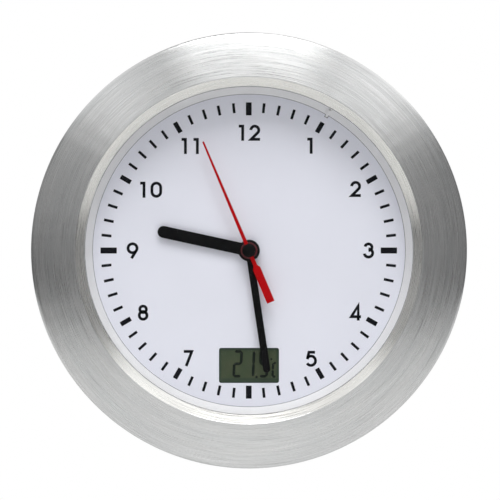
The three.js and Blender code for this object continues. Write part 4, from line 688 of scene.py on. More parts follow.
def digit(sign):
    """The pen's lines for a digit, each with whether it closes, and the digit's width."""
    half = PEN / 2
    top, foot = TALL - half, half
    if sign == "0":
        wide = 1.72
        across = wide + half
        return [(bow(across, top - wide, wide, wide, -90, 90)
                 + bow(across, foot + wide, wide, wide, 90, 270), True)], 2 * across
    if sign == "1":
        return [([(0, top), (2.1 - half, top), (2.1 - half, 0)], False)], 2.1
    if sign == "2":
        curve = bow(2.0, top - 1.55, 1.55, 1.55, -88, 128, 24)
        return [(curve + [(0.55, foot), (4.05, foot)], False)], 4.05
    if sign == "3":
        upper = bow(1.95, top - 1.3, 1.38, 1.3, -80, 180, 20)
        lower = bow(1.95, foot + 1.6, 1.66, 1.6, 0, 262, 24)
        return [(upper, False), (lower, False)], 4.05
    if sign == "4":
        return [([(3.16, 0), (3.16, top + 0.1), (0.45, 1.52), (4.25, 1.52)], False)], 4.25
    if sign == "5":
        bowl = bow(2.15, foot + 1.84, 1.78, 1.84, -52, 238, 28)
        return [([(3.75, top), (1.35, top), (0.72, 3.0)], False), (bowl, False)], 4.37
    if sign == "7":
        return [([(0, top), (3.15, top), (0.95, 0)], False)], 3.6
    if sign == "8":
        return [(bow(1.93, top - 1.27, 1.28, 1.27, 0, 360, 32)[:-1], True),
                (bow(1.93, foot + 1.52, 1.51, 1.52, 0, 360, 32)[:-1], True)], 3.86
    circle = bow(2.16, top - 1.76, 1.76, 1.76, 0, 360, 36)[:-1]
    return [(circle, True), ([(3.72, top - 2.55), (1.75, 0)], False)], 4.33


print("a 4 is", digit("4")[1], "mm wide")

# %% [markdown]
# A number is its digits side by side, centred on its place. The real dial leaves six out, where
# the display is. The places are written as across and up from the centre of the hands.

# %% Print the numerals
NUMERALS = {
    "12": (0.15, 46.3), "1": (23.95, 41.2), "2": (41.95, 24.2), "3": (47.05, 0.0),
    "4": (41.9, -24.4), "5": (24.4, -42.6), "7": (-23.85, -42.3), "8": (-41.65, -24.45),
    "9": (-45.8, 0.05), "10": (-38.5, 23.9), "11": (-23.15, 41.1),
}
GAPS = {"12": 2.2, "10": 2.0, "11": 2.6}

for number, (x, z) in NUMERALS.items():
    gap = GAPS.get(number, 0)
    start = x - (sum(digit(sign)[1] for sign in number) + gap * (len(number) - 1)) / 2
    for sign in number:
        lines, width = digit(sign)
        for line, closed in lines:
            press(ribbon(line, PEN, closed), shifted_to(start, z - TALL / 2))
        start += width + gap
printed_marks = settle("printed_marks", marks, ink)

# %% [markdown]
# The hands are stamped from thin sheet and painted, with a raised hub pressed on a tube. The hour
# and minute hands are plain bars with round ends. They are drawn pointing to twelve and turned to
# their time, about twenty-nine minutes past nine. Each rides on its own body, so it
# turns about the axis when its joint does.

# %% The hour and minute hands
SHEET = 0.45


def hub(work, radius, bore, rear, height=1.0, place=Matrix()):
    """The raised boss of a hand, with its top edge rounded."""
    tube(work, bore, radius, rear, rear + height, (0.05, 0.1, 0.28, 0.08), 64, place, 4)


def bar_hand(name, node, length, width, radius, bore, turn):
    """A straight hand with a round end."""
    span = reach(node)
    lean = clockwise(turn)
    half = width / 2
    tip = bow(0, length - half, half, half, 90, -90, 24)
    work = bmesh.new()
    plate(work, [[(-half, 0), (half, 0)] + tip], span.rear, span.rear + SHEET, 0.1, 3, lean)
    hub(work, radius, bore, span.rear, place=lean)
    settle(name, work, hand_black, node, rides=node)


bar_hand("hour_bar", "hour_hand", length=36.7, width=4.7, radius=4.25, bore=2.1, turn=282.25)
bar_hand("minute_bar", "minute_hand", length=48.4, width=2.82, radius=3.9, bore=1.4, turn=171.5)

# %% [markdown]
# The seconds hand is red, a long needle with a broad tail that balances it. It is riveted on a
# bush, of which a narrow ring shows round the black cap that closes the stack. The bush is painted
# a far darker red than the needle, as painted shade on that ring. The top of the cap is slightly
# domed, which shows as one soft highlight, so the dome is drawn with an arc and not left flat.

# %% The seconds hand and the cap
needle_box = reach("second_hand")
needle = bmesh.new()
one_side = [(0.35, 46.3, 0.25), (0.75, 0, 0), (0.78, -6.6, 0.5), (1.55, -7.5, 0.3),
            (1.55, -22, 0.1)]
other_side = [(-out, *rest) for out, *rest in one_side]
plate(needle, [eased(other_side + one_side[::-1], 0.1, 4)],
      needle_box.rear, needle_box.rear + SHEET, 0.08, 3, clockwise(337.1))
settle("red_needle", needle, hand_red, "second_hand", rides="second_hand")

bush = bmesh.new()
hub(bush, radius=3.3, bore=0.45, rear=needle_box.rear, height=0.41)
hub(bush, radius=2.5, bore=0.45, rear=needle_box.rear + 0.3, height=0.7)
# painted shade: the needle's red made far darker, for the narrow ring in shade round the cap
bush_red_painted_shade = moulded("bush_red_painted_shade", (0.105, 0.017, 0.022), 0.4, 0.15, 0.001, 0.1, 4,
                   Specular_IOR_Level=0.2)
needle_bush = settle("needle_bush", bush, bush_red_painted_shade, rides="second_hand")

cap_box = reach("hand_cap")
cap = bmesh.new()
DOME_BEND, DOME_HIGH, DOME_RADIUS = 1.2, 0.35, 0.93 * cap_box.radius
dome = []
for step in range(9):
    bend = DOME_BEND * step / 8
    dome.append((DOME_RADIUS * math.sin(bend) / math.sin(DOME_BEND),
                 cap_box.front - DOME_HIGH * (1 - math.cos(bend)) / (1 - math.cos(DOME_BEND))))
turned(cap, dome + [(cap_box.radius, cap_box.front - 0.55), (cap_box.radius, cap_box.rear),
                    (0, cap_box.rear)], 64)
settle("black_cap", cap, hand_black, "hand_cap", rides="second_hand")

# %% [markdown]
# The display is a liquid crystal cell: two thin sheets of glass with a grey-green reflector
# behind. The dark segments lie in the cell. Here the cell is one polished plate
# and the segments are a thin film just on it, in front of the reflector's colour. Each digit is
# the usual figure of seven bars, leaning a little to the right.

# %% The display
PAINTED_FRAME_SHADOW = 1.5


def reflector(name):
    """A reflecting display's grey-green, with painted shadow at its frame and darker at its foot.
    """
    finish, tree, shader, places = new_finish(name, (0.062, 0.085, 0.045), 0.22,
                                              Specular_IOR_Level=0.25)
    parts = add(tree, "SeparateXYZ", {0: places}).outputs
    up = reckon(tree, "ADD", parts["Z"], -WINDOW_Z)
    # painted shadow: the green darkens toward the window's frame, where the dial's edge shades it
    frame_shadow_shares = [ranged(tree, reckon(tree, "ABSOLUTE", value), half - PAINTED_FRAME_SHADOW, half,
                     interpolation_type="SMOOTHSTEP")
              for value, half in ((parts["X"], WINDOW_WIDE / 2), (up, WINDOW_HIGH / 2))]
    foot = ranged(tree, up, 1.6 - WINDOW_HIGH / 2, 2.2 - WINDOW_HIGH / 2, 0.6, 0.0)
    edge = reckon(tree, "MAXIMUM", reckon(tree, "MAXIMUM", *frame_shadow_shares), foot)
    drift = wavering(tree, places, 6, 0, 1)
    field = between(tree, drift, (0.048, 0.071, 0.037), (0.065, 0.080, 0.043))
    drive(tree, shader, {"Base Color": between(tree, edge, field, (0.030, 0.055, 0.036)),
                         "Normal": grained(tree, places, 7.0, 2.0, 0.0008)})
    return finish


display_green = reflector("display_glass")
cell_box = reach("display_glass")
cell = bmesh.new()
plate(cell, [oblong(27, 17, 0.2, cell_box.x, cell_box.z)], cell_box.rear, cell_box.front, 0.1)
settle("display_cell", cell, display_green, "display_glass")

# %% [markdown]
# Each bar of a figure has pointed ends, so that two of them meet at a corner with an even gap
# between. The lying bars and the standing ones are the same outline, with across and up
# exchanged. The bars are listed by the letters that display makers use, a at the top and then
# clockwise, with g in the middle.

# %% The figures of the display
SEGMENTS = {"2": "abged", "1": "bc", "5": "afgcd", "C": "adef"}
BAR_GAP, SLANT = 0.46, 0.05
FILM = cell_box.front + 0.01, cell_box.front + 0.04


def seven_bars(work, sign, x, z, wide, high, thick):
    """A figure of seven bars from its lower left corner, leaning to the right."""
    half, middle = thick / 2, high / 2
    ends = {
        "a": ((half, high - half), (wide - half, high - half)),
        "g": ((half, middle), (wide - half, middle)), "d": ((half, half), (wide - half, half)),
        "f": ((half, middle), (half, high - half)), "e": ((half, half), (half, middle)),
        "b": ((wide - half, middle), (wide - half, high - half)),
        "c": ((wide - half, half), (wide - half, middle)),
    }
    for name in SEGMENTS[sign]:
        (x0, z0), (x1, z1) = ends[name]
        lying = z0 == z1
        start, end, level = (x0, x1, z0) if lying else (z0, z1, x0)
        start, end = start + BAR_GAP, end - BAR_GAP
        line = [(start - half, level), (start, level + half), (end, level + half),
                (end + half, level), (end, level - half), (start, level - half)]
        if not lying:
            line = [(across, up) for up, across in line]
        slanted = [(x + across + SLANT * up, z + up) for across, up in line]
        plate(work, [slanted], *FILM, 0.005, 1)


reading = bmesh.new()
for sign, x, foot, wide, high, thick in (
        ("2", -6.6, -50.0, 3.75, 10.8, 1.08), ("1", -1.7, -50.0, 3.75, 10.8, 1.08),
        ("5", 3.65, -50.0, 3.75, 10.8, 1.08), ("C", 8.75, -50.1, 2.2, 6.3, 0.92)):
    seven_bars(reading, sign, x, foot, wide, high, thick)
for x, z, size in ((2.95, -49.8, 0.48), (8.8, -42.7, 0.4)):
    plate(reading, [round_line(size, x, z, 20)], *FILM, 0.005, 1)
segment_ink = moulded("segment_ink", (0.007, 0.012, 0.008), 0.3, 0.15, 0.0005, 0.15, 3,
                      Specular_IOR_Level=0.15)
shown = settle("display_reading", reading, segment_ink)

# %% [markdown]
# The rest of the clock is seen from the side and from the back. Its moulded pieces have holes,
# rebates and pockets, and cutting these is a job for Blender's boolean modifier. It can stay on
# an object, but a finished mesh is easier to check, so a helper lets the modifier do its work
# once and keeps only the result. The cutters go one after another, since they may overlap.

# %% Cut holes and pockets
def carved(work, *cutters):
    """The mesh that is left of a piece when closed shapes are cut away from it."""
    for cutter in cutters:
        made = []
        for source in (work, cutter):
            bmesh.ops.recalc_face_normals(source, faces=source.faces)
            mesh = bpy.data.meshes.new("rough")
            source.to_mesh(mesh)
            source.free()
            made.append(bpy.data.objects.new("rough", mesh))
            bpy.context.scene.collection.objects.link(made[-1])
        cut = made[0].modifiers.new("cut", "BOOLEAN")
        cut.operation, cut.object, cut.solver = "DIFFERENCE", made[1], "EXACT"
        work = bmesh.new()
        work.from_object(made[0], bpy.context.evaluated_depsgraph_get())
        for rough in made:
            bpy.data.meshes.remove(rough.data)
    return work


def cutter_of(outline, rear, front, place=Matrix()):
    """A plain closed block with straight sides, for cutting."""
    block = bmesh.new()
    plate(block, [outline], rear, front, 0.0005, 1, place)
    return block


sample = bmesh.new()
plate(sample, [oblong(4, 4, 0.5)], 0, 1)
sample = carved(sample, cutter_of(round_line(1), -1, 2))
print("a plate with a hole has", len(sample.faces), "faces")
sample.free()

# %% [markdown]
# The plastic back is a moulded bowl. Its flat rear stands on four suction cups, its wall slopes
# out to a flange that takes the case screws, and a rim in front carries the glass. It starts as
# a turned shell. With the shell drawn as one section, the wall has its real thickness
# everywhere, as a moulding must.

# %% The bowl of the plastic back
BACK_WALL, SHELF_THICK, SHELF_WIDE = 2.5, 2.6, 11.0
FLOOR = back_box.rear + BACK_WALL
SHELF_FRONT = dial_box.rear - FIT
SHELF_REAR = SHELF_FRONT - SHELF_THICK
RIM_OUTER = glass_box.radius
RIM_INNER = RIM_OUTER - BACK_WALL
SHELF_INNER = RIM_INNER - SHELF_WIDE
FLAT, INNER_FLAT = 62.0, 61.0
BOWL = back_box.radius - 6.9

bowl = bmesh.new()
turned(bowl, eased([
    (0, back_box.rear, 0), (FLAT + 1.8, back_box.rear, 2.2), (BOWL, FLANGE_REAR, 0.5),
    (back_box.radius, FLANGE_REAR, 0.4), (back_box.radius, FLANGE_FRONT, 0.4),
    (RIM_OUTER, FLANGE_FRONT, 0.4), (RIM_OUTER, back_box.front, 0.3),
    (RIM_INNER, back_box.front, 0.3), (RIM_INNER, SHELF_FRONT, 0.2),
    (SHELF_INNER, SHELF_FRONT, 0.2), (SHELF_INNER, SHELF_REAR, 0.2),
    (BOWL - BACK_WALL, SHELF_REAR, 0.5), (INNER_FLAT + 4, FLOOR + 4, 1.0),
    (INNER_FLAT, FLOOR, 1.5), (0, FLOOR, 0)], steps=5), 160)
print("the bowl is", round(SHELF_REAR - FLOOR, 2), "mm deep inside, up to the shelf of the dial")

# %% [markdown]
# Then the openings are cut: the battery bay with a ledge for its lid, the shallow bed of the
# keyhole plate with a pocket for the nail, the window behind the display, and the holes for cups
# and screws. None of them is round about the axis, so none could be part of the turned
# section. The bay and the bed follow the solid door seal and plate with a small gap all round.

# %% The openings of the plastic back
door_seal_box, door_box = reach("door_seal"), reach("battery_door")
hanger_box = reach("hanger_plate")
door_x, door_z = door_seal_box.x, door_seal_box.z
opening_wide = door_seal_box.right - door_seal_box.left + 2 * FIT
opening_high = door_seal_box.top - door_seal_box.foot + 2 * FIT
LEDGE, CUP_HOLE = 3.1, 3.3
POCKET_WIDE, POCKET_HIGH, POCKET_Z = 12.4, 15.0, hanger_box.z + 1.0
CUP_PLACES = [middle_of(f"suction_cup_{number}") for number in (1, 2, 3, 4)]
HANGER_SCREWS = [(reach(f"hanger_screw_{number}").x, hanger_box.z) for number in (1, 2)]
rear, past = back_box.rear, FLOOR + 1
holes = bmesh.new()
for x, z in CUP_PLACES:
    plate(holes, [round_line(CUP_HOLE, x, z)], rear - 1, past, 0.0005, 1)
for turn in CASE_SCREW_TURNS:
    plate(holes, [round_line(BORE, *on_dial(CASE_SCREW_RADIUS, turn), 24)],
          FLANGE_REAR - 1, FLANGE_FRONT + 1, 0.0005, 1)
bowl = carved(
    bowl,
    cutter_of(oblong(opening_wide + 2 * LEDGE, opening_high + 2 * LEDGE, 4, door_x, door_z),
              rear - 1, rear + 1.5),
    cutter_of(oblong(opening_wide, opening_high, 2, door_x, door_z), rear - 2, past),
    cutter_of(oblong(26.3, 16.3, 1.15, hanger_box.x, hanger_box.z), rear - 1, rear + 1.15),
    cutter_of(oblong(POCKET_WIDE, POCKET_HIGH, 0.5, 0, POCKET_Z), rear + 1.1, past + 0.3),
    cutter_of(oblong(31.6, 21.6, 0.3, 0, WINDOW_Z), SHELF_REAR - 1, SHELF_FRONT + 1), holes)
print("the cut bowl has", len(bowl.faces), "faces")

# %% [markdown]
# Inside, the back has what a moulder adds to hold things: six ribs under the shelf, posts with
# screw holes, two cradles for the aerial rod, and a box behind the keyhole that keeps a nail away
# from the works. They touch the bowl without being joined face by face. Blender can join them
# too, but nothing shows where two closed shapes of one plastic meet.

# %% The ribs, posts and box inside the back
RIB_SECTION = [(INNER_FLAT, FLOOR - 0.3), (INNER_FLAT + 4.2, FLOOR + 4),
               (BOWL - 2.4, SHELF_REAR + 0.1), (SHELF_INNER + 0.3, SHELF_REAR + 0.1)]
ROOT, POST_TOP = FLOOR - 0.3, FLOOR + 6.5
for number in range(6):
    plate(bowl, [RIB_SECTION], -0.8, 0.8, 0.15, place=clockwise(30 + 60 * number) @ ALONG_RADIUS)
for number in (1, 2):
    works = f"movement_screw_{number}"
    for node, top in ((works, reach(works).front - 4.0),
                      (f"display_screw_{number}", reach("display_board").rear - FIT)):
        tube(bowl, BORE, BOSS_RADIUS, ROOT, top, (0.1, 0.1, 0.3, 0.1), 32,
             shifted_to(*middle_of(node)))
for x, z in HANGER_SCREWS:
    turned(bowl, eased([(BORE, rear + 1.3), (BOSS_RADIUS, FLOOR - 0.2),
                        (BOSS_RADIUS, POST_TOP, 0.3), (BORE, POST_TOP, 0.1)], 0.05), 32,
           shifted_to(x, z))
rod_box = reach("ferrite_rod")
rod_middle = (rod_box.rear + rod_box.front) / 2
for side in (-22, 22):
    saddle = [(side - 2, rod_box.foot - 2), (side + 2, rod_box.foot - 2),
              (side + 2, rod_box.top + 2), (side - 2, rod_box.top + 2)]
    plate(bowl, [saddle], ROOT, rod_box.rear - 0.2, 0.2)
    for z in (rod_box.foot - 1.15, rod_box.top + 1.15):
        plate(bowl, [oblong(4, 1.6, 0.2, side, z)], rod_box.rear - 0.6, rod_middle, 0.2)
box_outer = oblong(POCKET_WIDE + 4, POCKET_HIGH + 4, 1, 0, POCKET_Z)
box_inner = oblong(POCKET_WIDE, POCKET_HIGH, 0.5, 0, POCKET_Z)
plate(bowl, [box_outer, box_inner], ROOT, rear + 7.2, 0.02, 1)
plate(bowl, [box_outer], rear + 7.15, rear + 9.15, 0.2)
settle("moulded_back", bowl, housing_plastic, "back_housing", crease=32)

# %% [markdown]
# The battery door is a lid with a rounded edge, three finger ribs that stand proud, and a low
# collar on its inside that finds the opening. A rubber cord lies round the collar and keeps
# steam out of the battery. The lid could be a scaled cube, but its outline with round corners is
# quickly drawn and fits the ledge evenly all round.

# %% The battery door and its seal
GRIP_PROUD = 0.5
door = bmesh.new()
lid_wide, lid_high = door_box.right - door_box.left, door_box.top - door_box.foot
lid_rear = door_box.rear + GRIP_PROUD
plate(door, [oblong(lid_wide, lid_high, 3.8, door_x, door_z)], lid_rear, lid_rear + 1.3, 0.35, 4)
collar = [oblong(opening_wide - cut, opening_high - cut, round_, door_x, door_z)
          for cut, round_ in ((2.8, 2), (5.2, 1))]
plate(door, collar, lid_rear + 1.1, door_box.front, 0.15, 2)
for number in range(3):
    rib_z = door_z - opening_high / 2 + 2 * (number + 0.5)
    plate(door, [oblong(14, 0.9, 0.4, door_x, rib_z, 5)], door_box.rear, lid_rear + 0.2, 0.3, 4)
settle("battery_lid", door, housing_plastic, "battery_door", rides="battery_door")

cord = bmesh.new()
loops = [oblong(opening_wide - cut, opening_high - cut, 2, door_x, door_z) for cut in (0.3, 2.5)]
plate(cord, loops, door_seal_box.rear, door_seal_box.front, 0.3, 4)
settle("lid_seal", cord, black_rubber, "door_seal", rides="battery_door")

# %% [markdown]
# The four suction cups hold the clock on tiles. Each is a soft milky disc with a thin lip, a
# shallow hollow toward the wall, and a knob that is pressed through its hole from behind. Soft
# vinyl lets light in and lights up from inside, so the shader has a little subsurface
# scattering under a glossy skin. Full transmission would also do, but on such a small milky
# piece it only adds noise.

# %% The suction cups
vinyl = moulded("cup_rubber", (0.60, 0.67, 0.68), 0.16, 0.8, 0.003, 0.04, 8,
                Subsurface_Weight=0.35, Subsurface_Scale=0.004, Coat_Weight=0.4)
neck, catch = back_box.rear - FIT, FLOOR + FIT
for number, (x, z) in enumerate(CUP_PLACES, 1):
    knob = reach(f"suction_cup_{number}").front
    cup = bmesh.new()
    turned(cup, eased([
        (0, 2.6, 0), (4.4, 2.5, 0.4), (4.7, 2.2, 0.1), (7.8, 1.7, 0.4), (8.1, 1.4, 0.1),
        (10.9, 0.85, 0.4), (11.2, 0.6, 0.1), (13.1, 0.0, 0.4), (14, 0.0, 0.2), (13.9, 0.45, 0.3),
        (11.2, 1.6, 1.2), (8.2, 3.1, 1.2), (7.6, 3.7, 0.4), (4.6, neck - 0.1, 0.5),
        (4.4, neck, 0.1), (3, neck, 0.1), (3, catch, 0.2), (4.4, catch, 0.35),
        (3, knob, 0.6), (0, knob, 0)], steps=5), 72, shifted_to(x, z))
    settle(f"soft_cup_{number}", cup, vinyl, f"suction_cup_{number}")

# %% [markdown]
# The clock can also hang on a nail or a screw head, by a keyhole in a small steel plate. The head
# goes in at the round end and the neck slides up the slot. The plate is punched, so its edge is
# barely rounded, and the two screw holes are countersunk. A cone for each does that.

# %% The keyhole plate
HOLE_RADIUS, SLOT_RADIUS, SLOT_RUN = 4.2, 2.2, 6.0


def keyhole(x, z):
    """The outline of the hole: most of a circle, and a slot that ends in a half circle."""
    throat = math.degrees(math.asin(SLOT_RADIUS / HOLE_RADIUS))
    around = bow(x, z, HOLE_RADIUS, HOLE_RADIUS, throat, 360 - throat, 28)
    return around + bow(x, z + SLOT_RUN, SLOT_RADIUS, SLOT_RADIUS, -90, 90, 14)


def plated(name, colour, roughness, hue=(1.0, 0.97, 0.9)):
    """Zinc or plain steel: very faint waves, cloudy gloss and a little warmth in patches."""
    finish, tree, shader, places = new_finish(name, colour, roughness, 1.0)
    warm = [channel * tint for channel, tint in zip(colour, hue)]
    drive(tree, shader, {
        "Base Color": between(tree, wavering(tree, places, 3, 0, 1), colour, warm),
        "Roughness": wavering(tree, places, 3, roughness * 0.85, roughness * 1.15, 1.0),
        "Normal": grained(tree, places, 0.9, 1.0, 0.00008)})
    return finish


steel = plated("zinc_steel", (0.62, 0.63, 0.64), 0.32)
hanger = bmesh.new()
plate(hanger, [oblong(26, 16, 1, hanger_box.x, hanger_box.z), keyhole(0, hanger_box.z - 2)],
      hanger_box.rear, hanger_box.front, 0.1, 2)
cones = bmesh.new()
for x, z in HANGER_SCREWS:
    turned(cones, [(0, -0.5), (2.85, -0.5), (2.5, 0), (1.4, 1.0), (1.4, 1.5), (0, 1.5)], 40,
           shifted_to(x, z, hanger_box.rear))
settle("keyhole_plate", carved(hanger, cones), steel, "hanger_plate", crease=30)

# %% [markdown]
# Every screw has a cross recess for the driver. The round-headed ones hold the case from behind,
# and the flat-headed ones lie flush in the keyhole plate. One helper turns the head and the
# shank, and cuts a plus sign into the head. Threads are left out, because they are always
# hidden in the plastic.

# %% The screws
def cross_screw(name, node, head, flip=False):
    """A screw with a cross recess, its head toward the wall unless it is flipped."""
    span = reach(node)
    seat = span.front if flip else span.rear
    place = shifted_to(span.x, span.z, seat)
    if flip:
        place = place @ Matrix.Rotation(math.pi, 4, "X")
    length = span.front - span.rear
    shape = bmesh.new()
    turned(shape, eased(head + [(1.05, length - 1.1, 0.05), (0, length, 0)], 0.05, 4), 48, place)
    arm, half = 1.25, 0.24
    plus = [(half, half), (half, arm), (-half, arm), (-half, half), (-arm, half), (-arm, -half),
            (-half, -half), (-half, -arm), (half, -arm), (half, -half), (arm, -half), (arm, half)]
    shape = carved(shape, cutter_of(plus, -0.5, 0.75, place))
    settle(name, shape, steel, node, crease=30)


ROUND_HEAD = [(0, 0, 0), (1.5, 0.06, 0.5), (2.12, 0.75, 0.5), (2.2, 1.5, 0.08), (1.1, 1.5, 0.05)]
FLAT_HEAD = [(0, 0, 0), (2.2, 0, 0.06), (1.1, 1.0, 0.1)]
for number in (1, 2, 3, 4):
    cross_screw(f"back_screw_{number}", f"case_screw_{number}", ROUND_HEAD)
for number in (1, 2):
    cross_screw(f"plate_screw_{number}", f"hanger_screw_{number}", FLAT_HEAD)
    cross_screw(f"works_screw_{number}", f"movement_screw_{number}", ROUND_HEAD, flip=True)
    cross_screw(f"cell_screw_{number}", f"display_screw_{number}", ROUND_HEAD, flip=True)

# %% [markdown]
# Behind the door lie the round cell and three setting buttons. The cell is a steel can with a
# bare button at one end, in a thin plastic sleeve that is shrunk over both edges. Can and sleeve
# are turned about their own axis. It lies across the clock, so a matrix lays them down.

# %% The battery
cell_span = reach("battery")
CELL_RADIUS = (cell_span.top - cell_span.foot) / 2
CELL_DEPTH = (cell_span.rear + cell_span.front) / 2
across = shifted_to(0, cell_span.z, CELL_DEPTH) @ Matrix.Rotation(math.radians(90), 4, "Z")
left, right = cell_span.left, cell_span.right
sleeve = bmesh.new()
turned(sleeve, eased([
    (5.9, left + 0.22, 0), (6.9, left + 0.15, 0.3), (CELL_RADIUS, left + 0.6, 0.4),
    (CELL_RADIUS, right - 1.7, 0.4), (6.8, right - 1.15, 0.3), (5.6, right - 1.2, 0)],
    steps=5), 96, across)
turned(sleeve, eased([
    (0, left, 0), (4.6, left, 0.3), (5.2, left + 0.3, 0.3), (6.5, left + 0.3, 0.2),
    (6.5, right - 1.3, 0.2), (3.4, right - 1.3, 0.3), (2.75, right - 0.9, 0.2),
    (2.75, right, 0.3), (0, right, 0)], steps=4), 72, across)
print("the round cell is", round(2 * CELL_RADIUS, 2), "mm thick")

# %% [markdown]
# The sleeve has two plain colours and no print, and the steel shows only where the sleeve ends.
# Colour and metal follow from the place: how far along the cell a point lies, and how far from
# its axis. An image would do the same, but would need to be unwrapped and kept with the file.

# %% The sleeve of the battery
COLOUR_EDGE, BARE_RADIUS = 11.6, 5.75


def shrink_sleeve(name):
    """A glossy two-colour sleeve, with bare steel where the can shows at its ends."""
    finish, tree, shader, places = new_finish(name, (0.02, 0.09, 0.22), 0.22, Coat_Weight=0.3)
    parts = add(tree, "SeparateXYZ", {0: places}).outputs
    band = ranged(tree, parts["X"], COLOUR_EDGE, COLOUR_EDGE + 0.3)
    drift = wavering(tree, places, 8, 0, 1)
    shade = between(tree, drift, (0.018, 0.080, 0.20), (0.022, 0.095, 0.23))
    two = between(tree, band, shade, (0.70, 0.70, 0.68))
    radius = length_of(tree, Y=reckon(tree, "ADD", parts["Y"], CELL_DEPTH),
                       Z=reckon(tree, "ADD", parts["Z"], -cell_span.z))
    bare = ranged(tree, radius, BARE_RADIUS, BARE_RADIUS - 0.2)
    drive(tree, shader, {
        "Base Color": between(tree, bare, two, (0.68, 0.68, 0.66)), "Metallic": bare,
        "Roughness": wavering(tree, places, 5, 0.18, 0.3),
        "Normal": grained(tree, places, 0.5, 3.0, 0.02)})
    return finish


sleeve_print = shrink_sleeve("battery_wrap")
settle("round_cell", sleeve, sleeve_print, "battery", crease=50)

# %% [markdown]
# The setting buttons are small mushrooms: a stem with a softly dished top comes through the cover,
# and a flange behind keeps it in. Each rides on its own body, so it goes in when its
# joint does. The cover is one flat moulding with holes for them and bearings for the arbors.

# %% The buttons and the cover of the works
KEYS = {"set_button": "set_key", "receive_button": "receive_key", "reset_button": "reset_key"}
for node, name in KEYS.items():
    span = reach(node)
    key = bmesh.new()
    shoulder = span.rear + 2.65
    turned(key, eased([
        (0, span.rear + 0.18, 0), (1.0, span.rear + 0.12, 0.4), (1.5, span.rear, 0.3),
        (1.9, span.rear, 0.25), (1.9, shoulder, 0.05), (2.6, shoulder, 0.12),
        (2.6, span.front, 0.12), (0, span.front, 0)], steps=5), 48, shifted_to(*middle_of(node)))
    settle(name, key, button_grey, node, rides=node)

cover_span = reach("movement_cover")
cover = bmesh.new()
face = oblong(cover_span.right - cover_span.left, cover_span.top - cover_span.foot, 0.4,
              cover_span.x, cover_span.z)
plate(cover, [face] + [round_line(2.05, *middle_of(node), 36) for node in KEYS],
      cover_span.rear, cover_span.rear + 1.5, 0.2, 3)
root = cover_span.rear + 1.3
for node in ("seconds_wheel", "seconds_idler_wheel", "seconds_rotor", "minute_idler_wheel",
             "minutes_rotor"):
    tube(cover, 0.6, 1.2, root, cover_span.front, [0.08] * 4, 24, shifted_to(*middle_of(node)))
for side in (-1, 1):
    for z in (cover_span.foot + 3, cover_span.top - 3):
        tube(cover, 0, 1.5, root, root + 1.85, (0, 0.1, 0.15, 0), 24,
             shifted_to(side * (cover_span.right - 2.9), z))
settle("works_cover", cover, movement_plastic, "movement_cover", crease=30)

# %% [markdown]
# Most inner pieces are plain plastic or steel. Four need a surface of their own: the iron of the
# motors, the dark ferrite of the aerial rod, the circuit board with its tracks under green
# lacquer, and the coils, whose wire lies turn by turn. Tracks and turns could be modelled, but
# behind a dial a pattern that is reckoned from the place is enough.

# %% Finishes for the inner pieces
motor_iron = plated("motor_iron", (0.42, 0.42, 0.43), 0.45, (1.0, 0.95, 0.9))
ferrite = moulded("ferrite", (0.045, 0.045, 0.05), 0.6, 0.4, 0.015, 0.2, 5)
TRACK_PITCH = 2.54


def solder_lacquer(name):
    """Green lacquer over copper tracks, which show as raised paler lines."""
    finish, tree, shader, places = new_finish(name, (0.02, 0.16, 0.06), 0.3)
    parts = add(tree, "SeparateXYZ", {0: places}).outputs
    lying, standing = [
        ranged(tree, reckon(tree, "PINGPONG", parts[axis], TRACK_PITCH), 0.22, 0.3, 1.0, 0.0)
        for axis in "XZ"]
    choice = add(tree, "TexVoronoi", {"Vector": places, "Scale": 0.16}).outputs["Color"]
    pick = add(tree, "SeparateColor", {0: choice}).outputs[0]
    turned_field = reckon(tree, "GREATER_THAN", pick, 0.5)
    track = add(tree, "Mix", {"Factor": turned_field, 2: lying, 3: standing}).outputs[0]
    drive(tree, shader, {
        "Base Color": between(tree, track, (0.012, 0.11, 0.04), (0.04, 0.25, 0.10)),
        "Roughness": wavering(tree, places, 4, 0.24, 0.36), "Normal": raised(tree, track, 0.03)})
    return finish


def wound(name, colour, pitch):
    """Enamelled wire laid turn by turn across the axis of a coil, with painted shade between turns.
    """
    finish, tree, shader, places = new_finish(name, colour, 0.3, 1.0)
    along = add(tree, "SeparateXYZ", {0: places}).outputs["X"]
    height = ranged(tree, reckon(tree, "PINGPONG", along, pitch / 2), 0.0, pitch / 2)
    # painted shade: the wire darkens to under half its colour in the grooves between turns
    painted_groove_shade = [channel * 0.45 for channel in colour]
    drive(tree, shader, {"Base Color": between(tree, height, painted_groove_shade, colour),
                         "Roughness": wavering(tree, places, 2, 0.24, 0.4),
                         "Normal": raised(tree, height, 0.06)})
    return finish


circuit_green = solder_lacquer("circuit_green")
copper_wire = wound("copper_wire", (0.62, 0.25, 0.11), pitch=0.22)
print("four finishes for the inner pieces")

# %% [markdown]
# Everything that has no finer piece of its own keeps its solid shape and takes the finish of its
# material. The record of the part says which material each node has, so the finishes are
# handed out by that list, and none is left plain.

# %% Hand out the finishes
FINISHES = {made.name: made for made in (
    brushed_aluminium, clear_glass, white_plastic, dial_print, housing_plastic, black_rubber,
    vinyl, steel, motor_iron, movement_plastic, gear_plastic, circuit_green, copper_wire,
    ferrite, hand_black, hand_red, display_green, sleeve_print, button_grey)}
for part in frame["record"]["subparts"]:
    solid = frame["nodes"][part["node"]]
    solid.data.materials.clear()
    solid.data.materials.append(FINISHES[part["material_slot"]])
    for face in solid.data.polygons:
        face.use_smooth = True
    solid.data.set_sharp_from_angle(angle=math.radians(35))

# %% [markdown]
# The clock hangs in a plain white studio. A brushed rim shows little of itself and much of the
# room, so the room is the real light setting: a bright panel at the upper left, another at the
# upper right, paler side walls and a dark lower half. That is why the chamfer flares at about
# eleven and one o'clock and the rim darkens toward three and nine. The room is a world shader that
# depends only on the direction. Its tones are listed by heading, in degrees clockwise from the
# top, and the wall straight ahead is an even grey that keeps the glass clear.

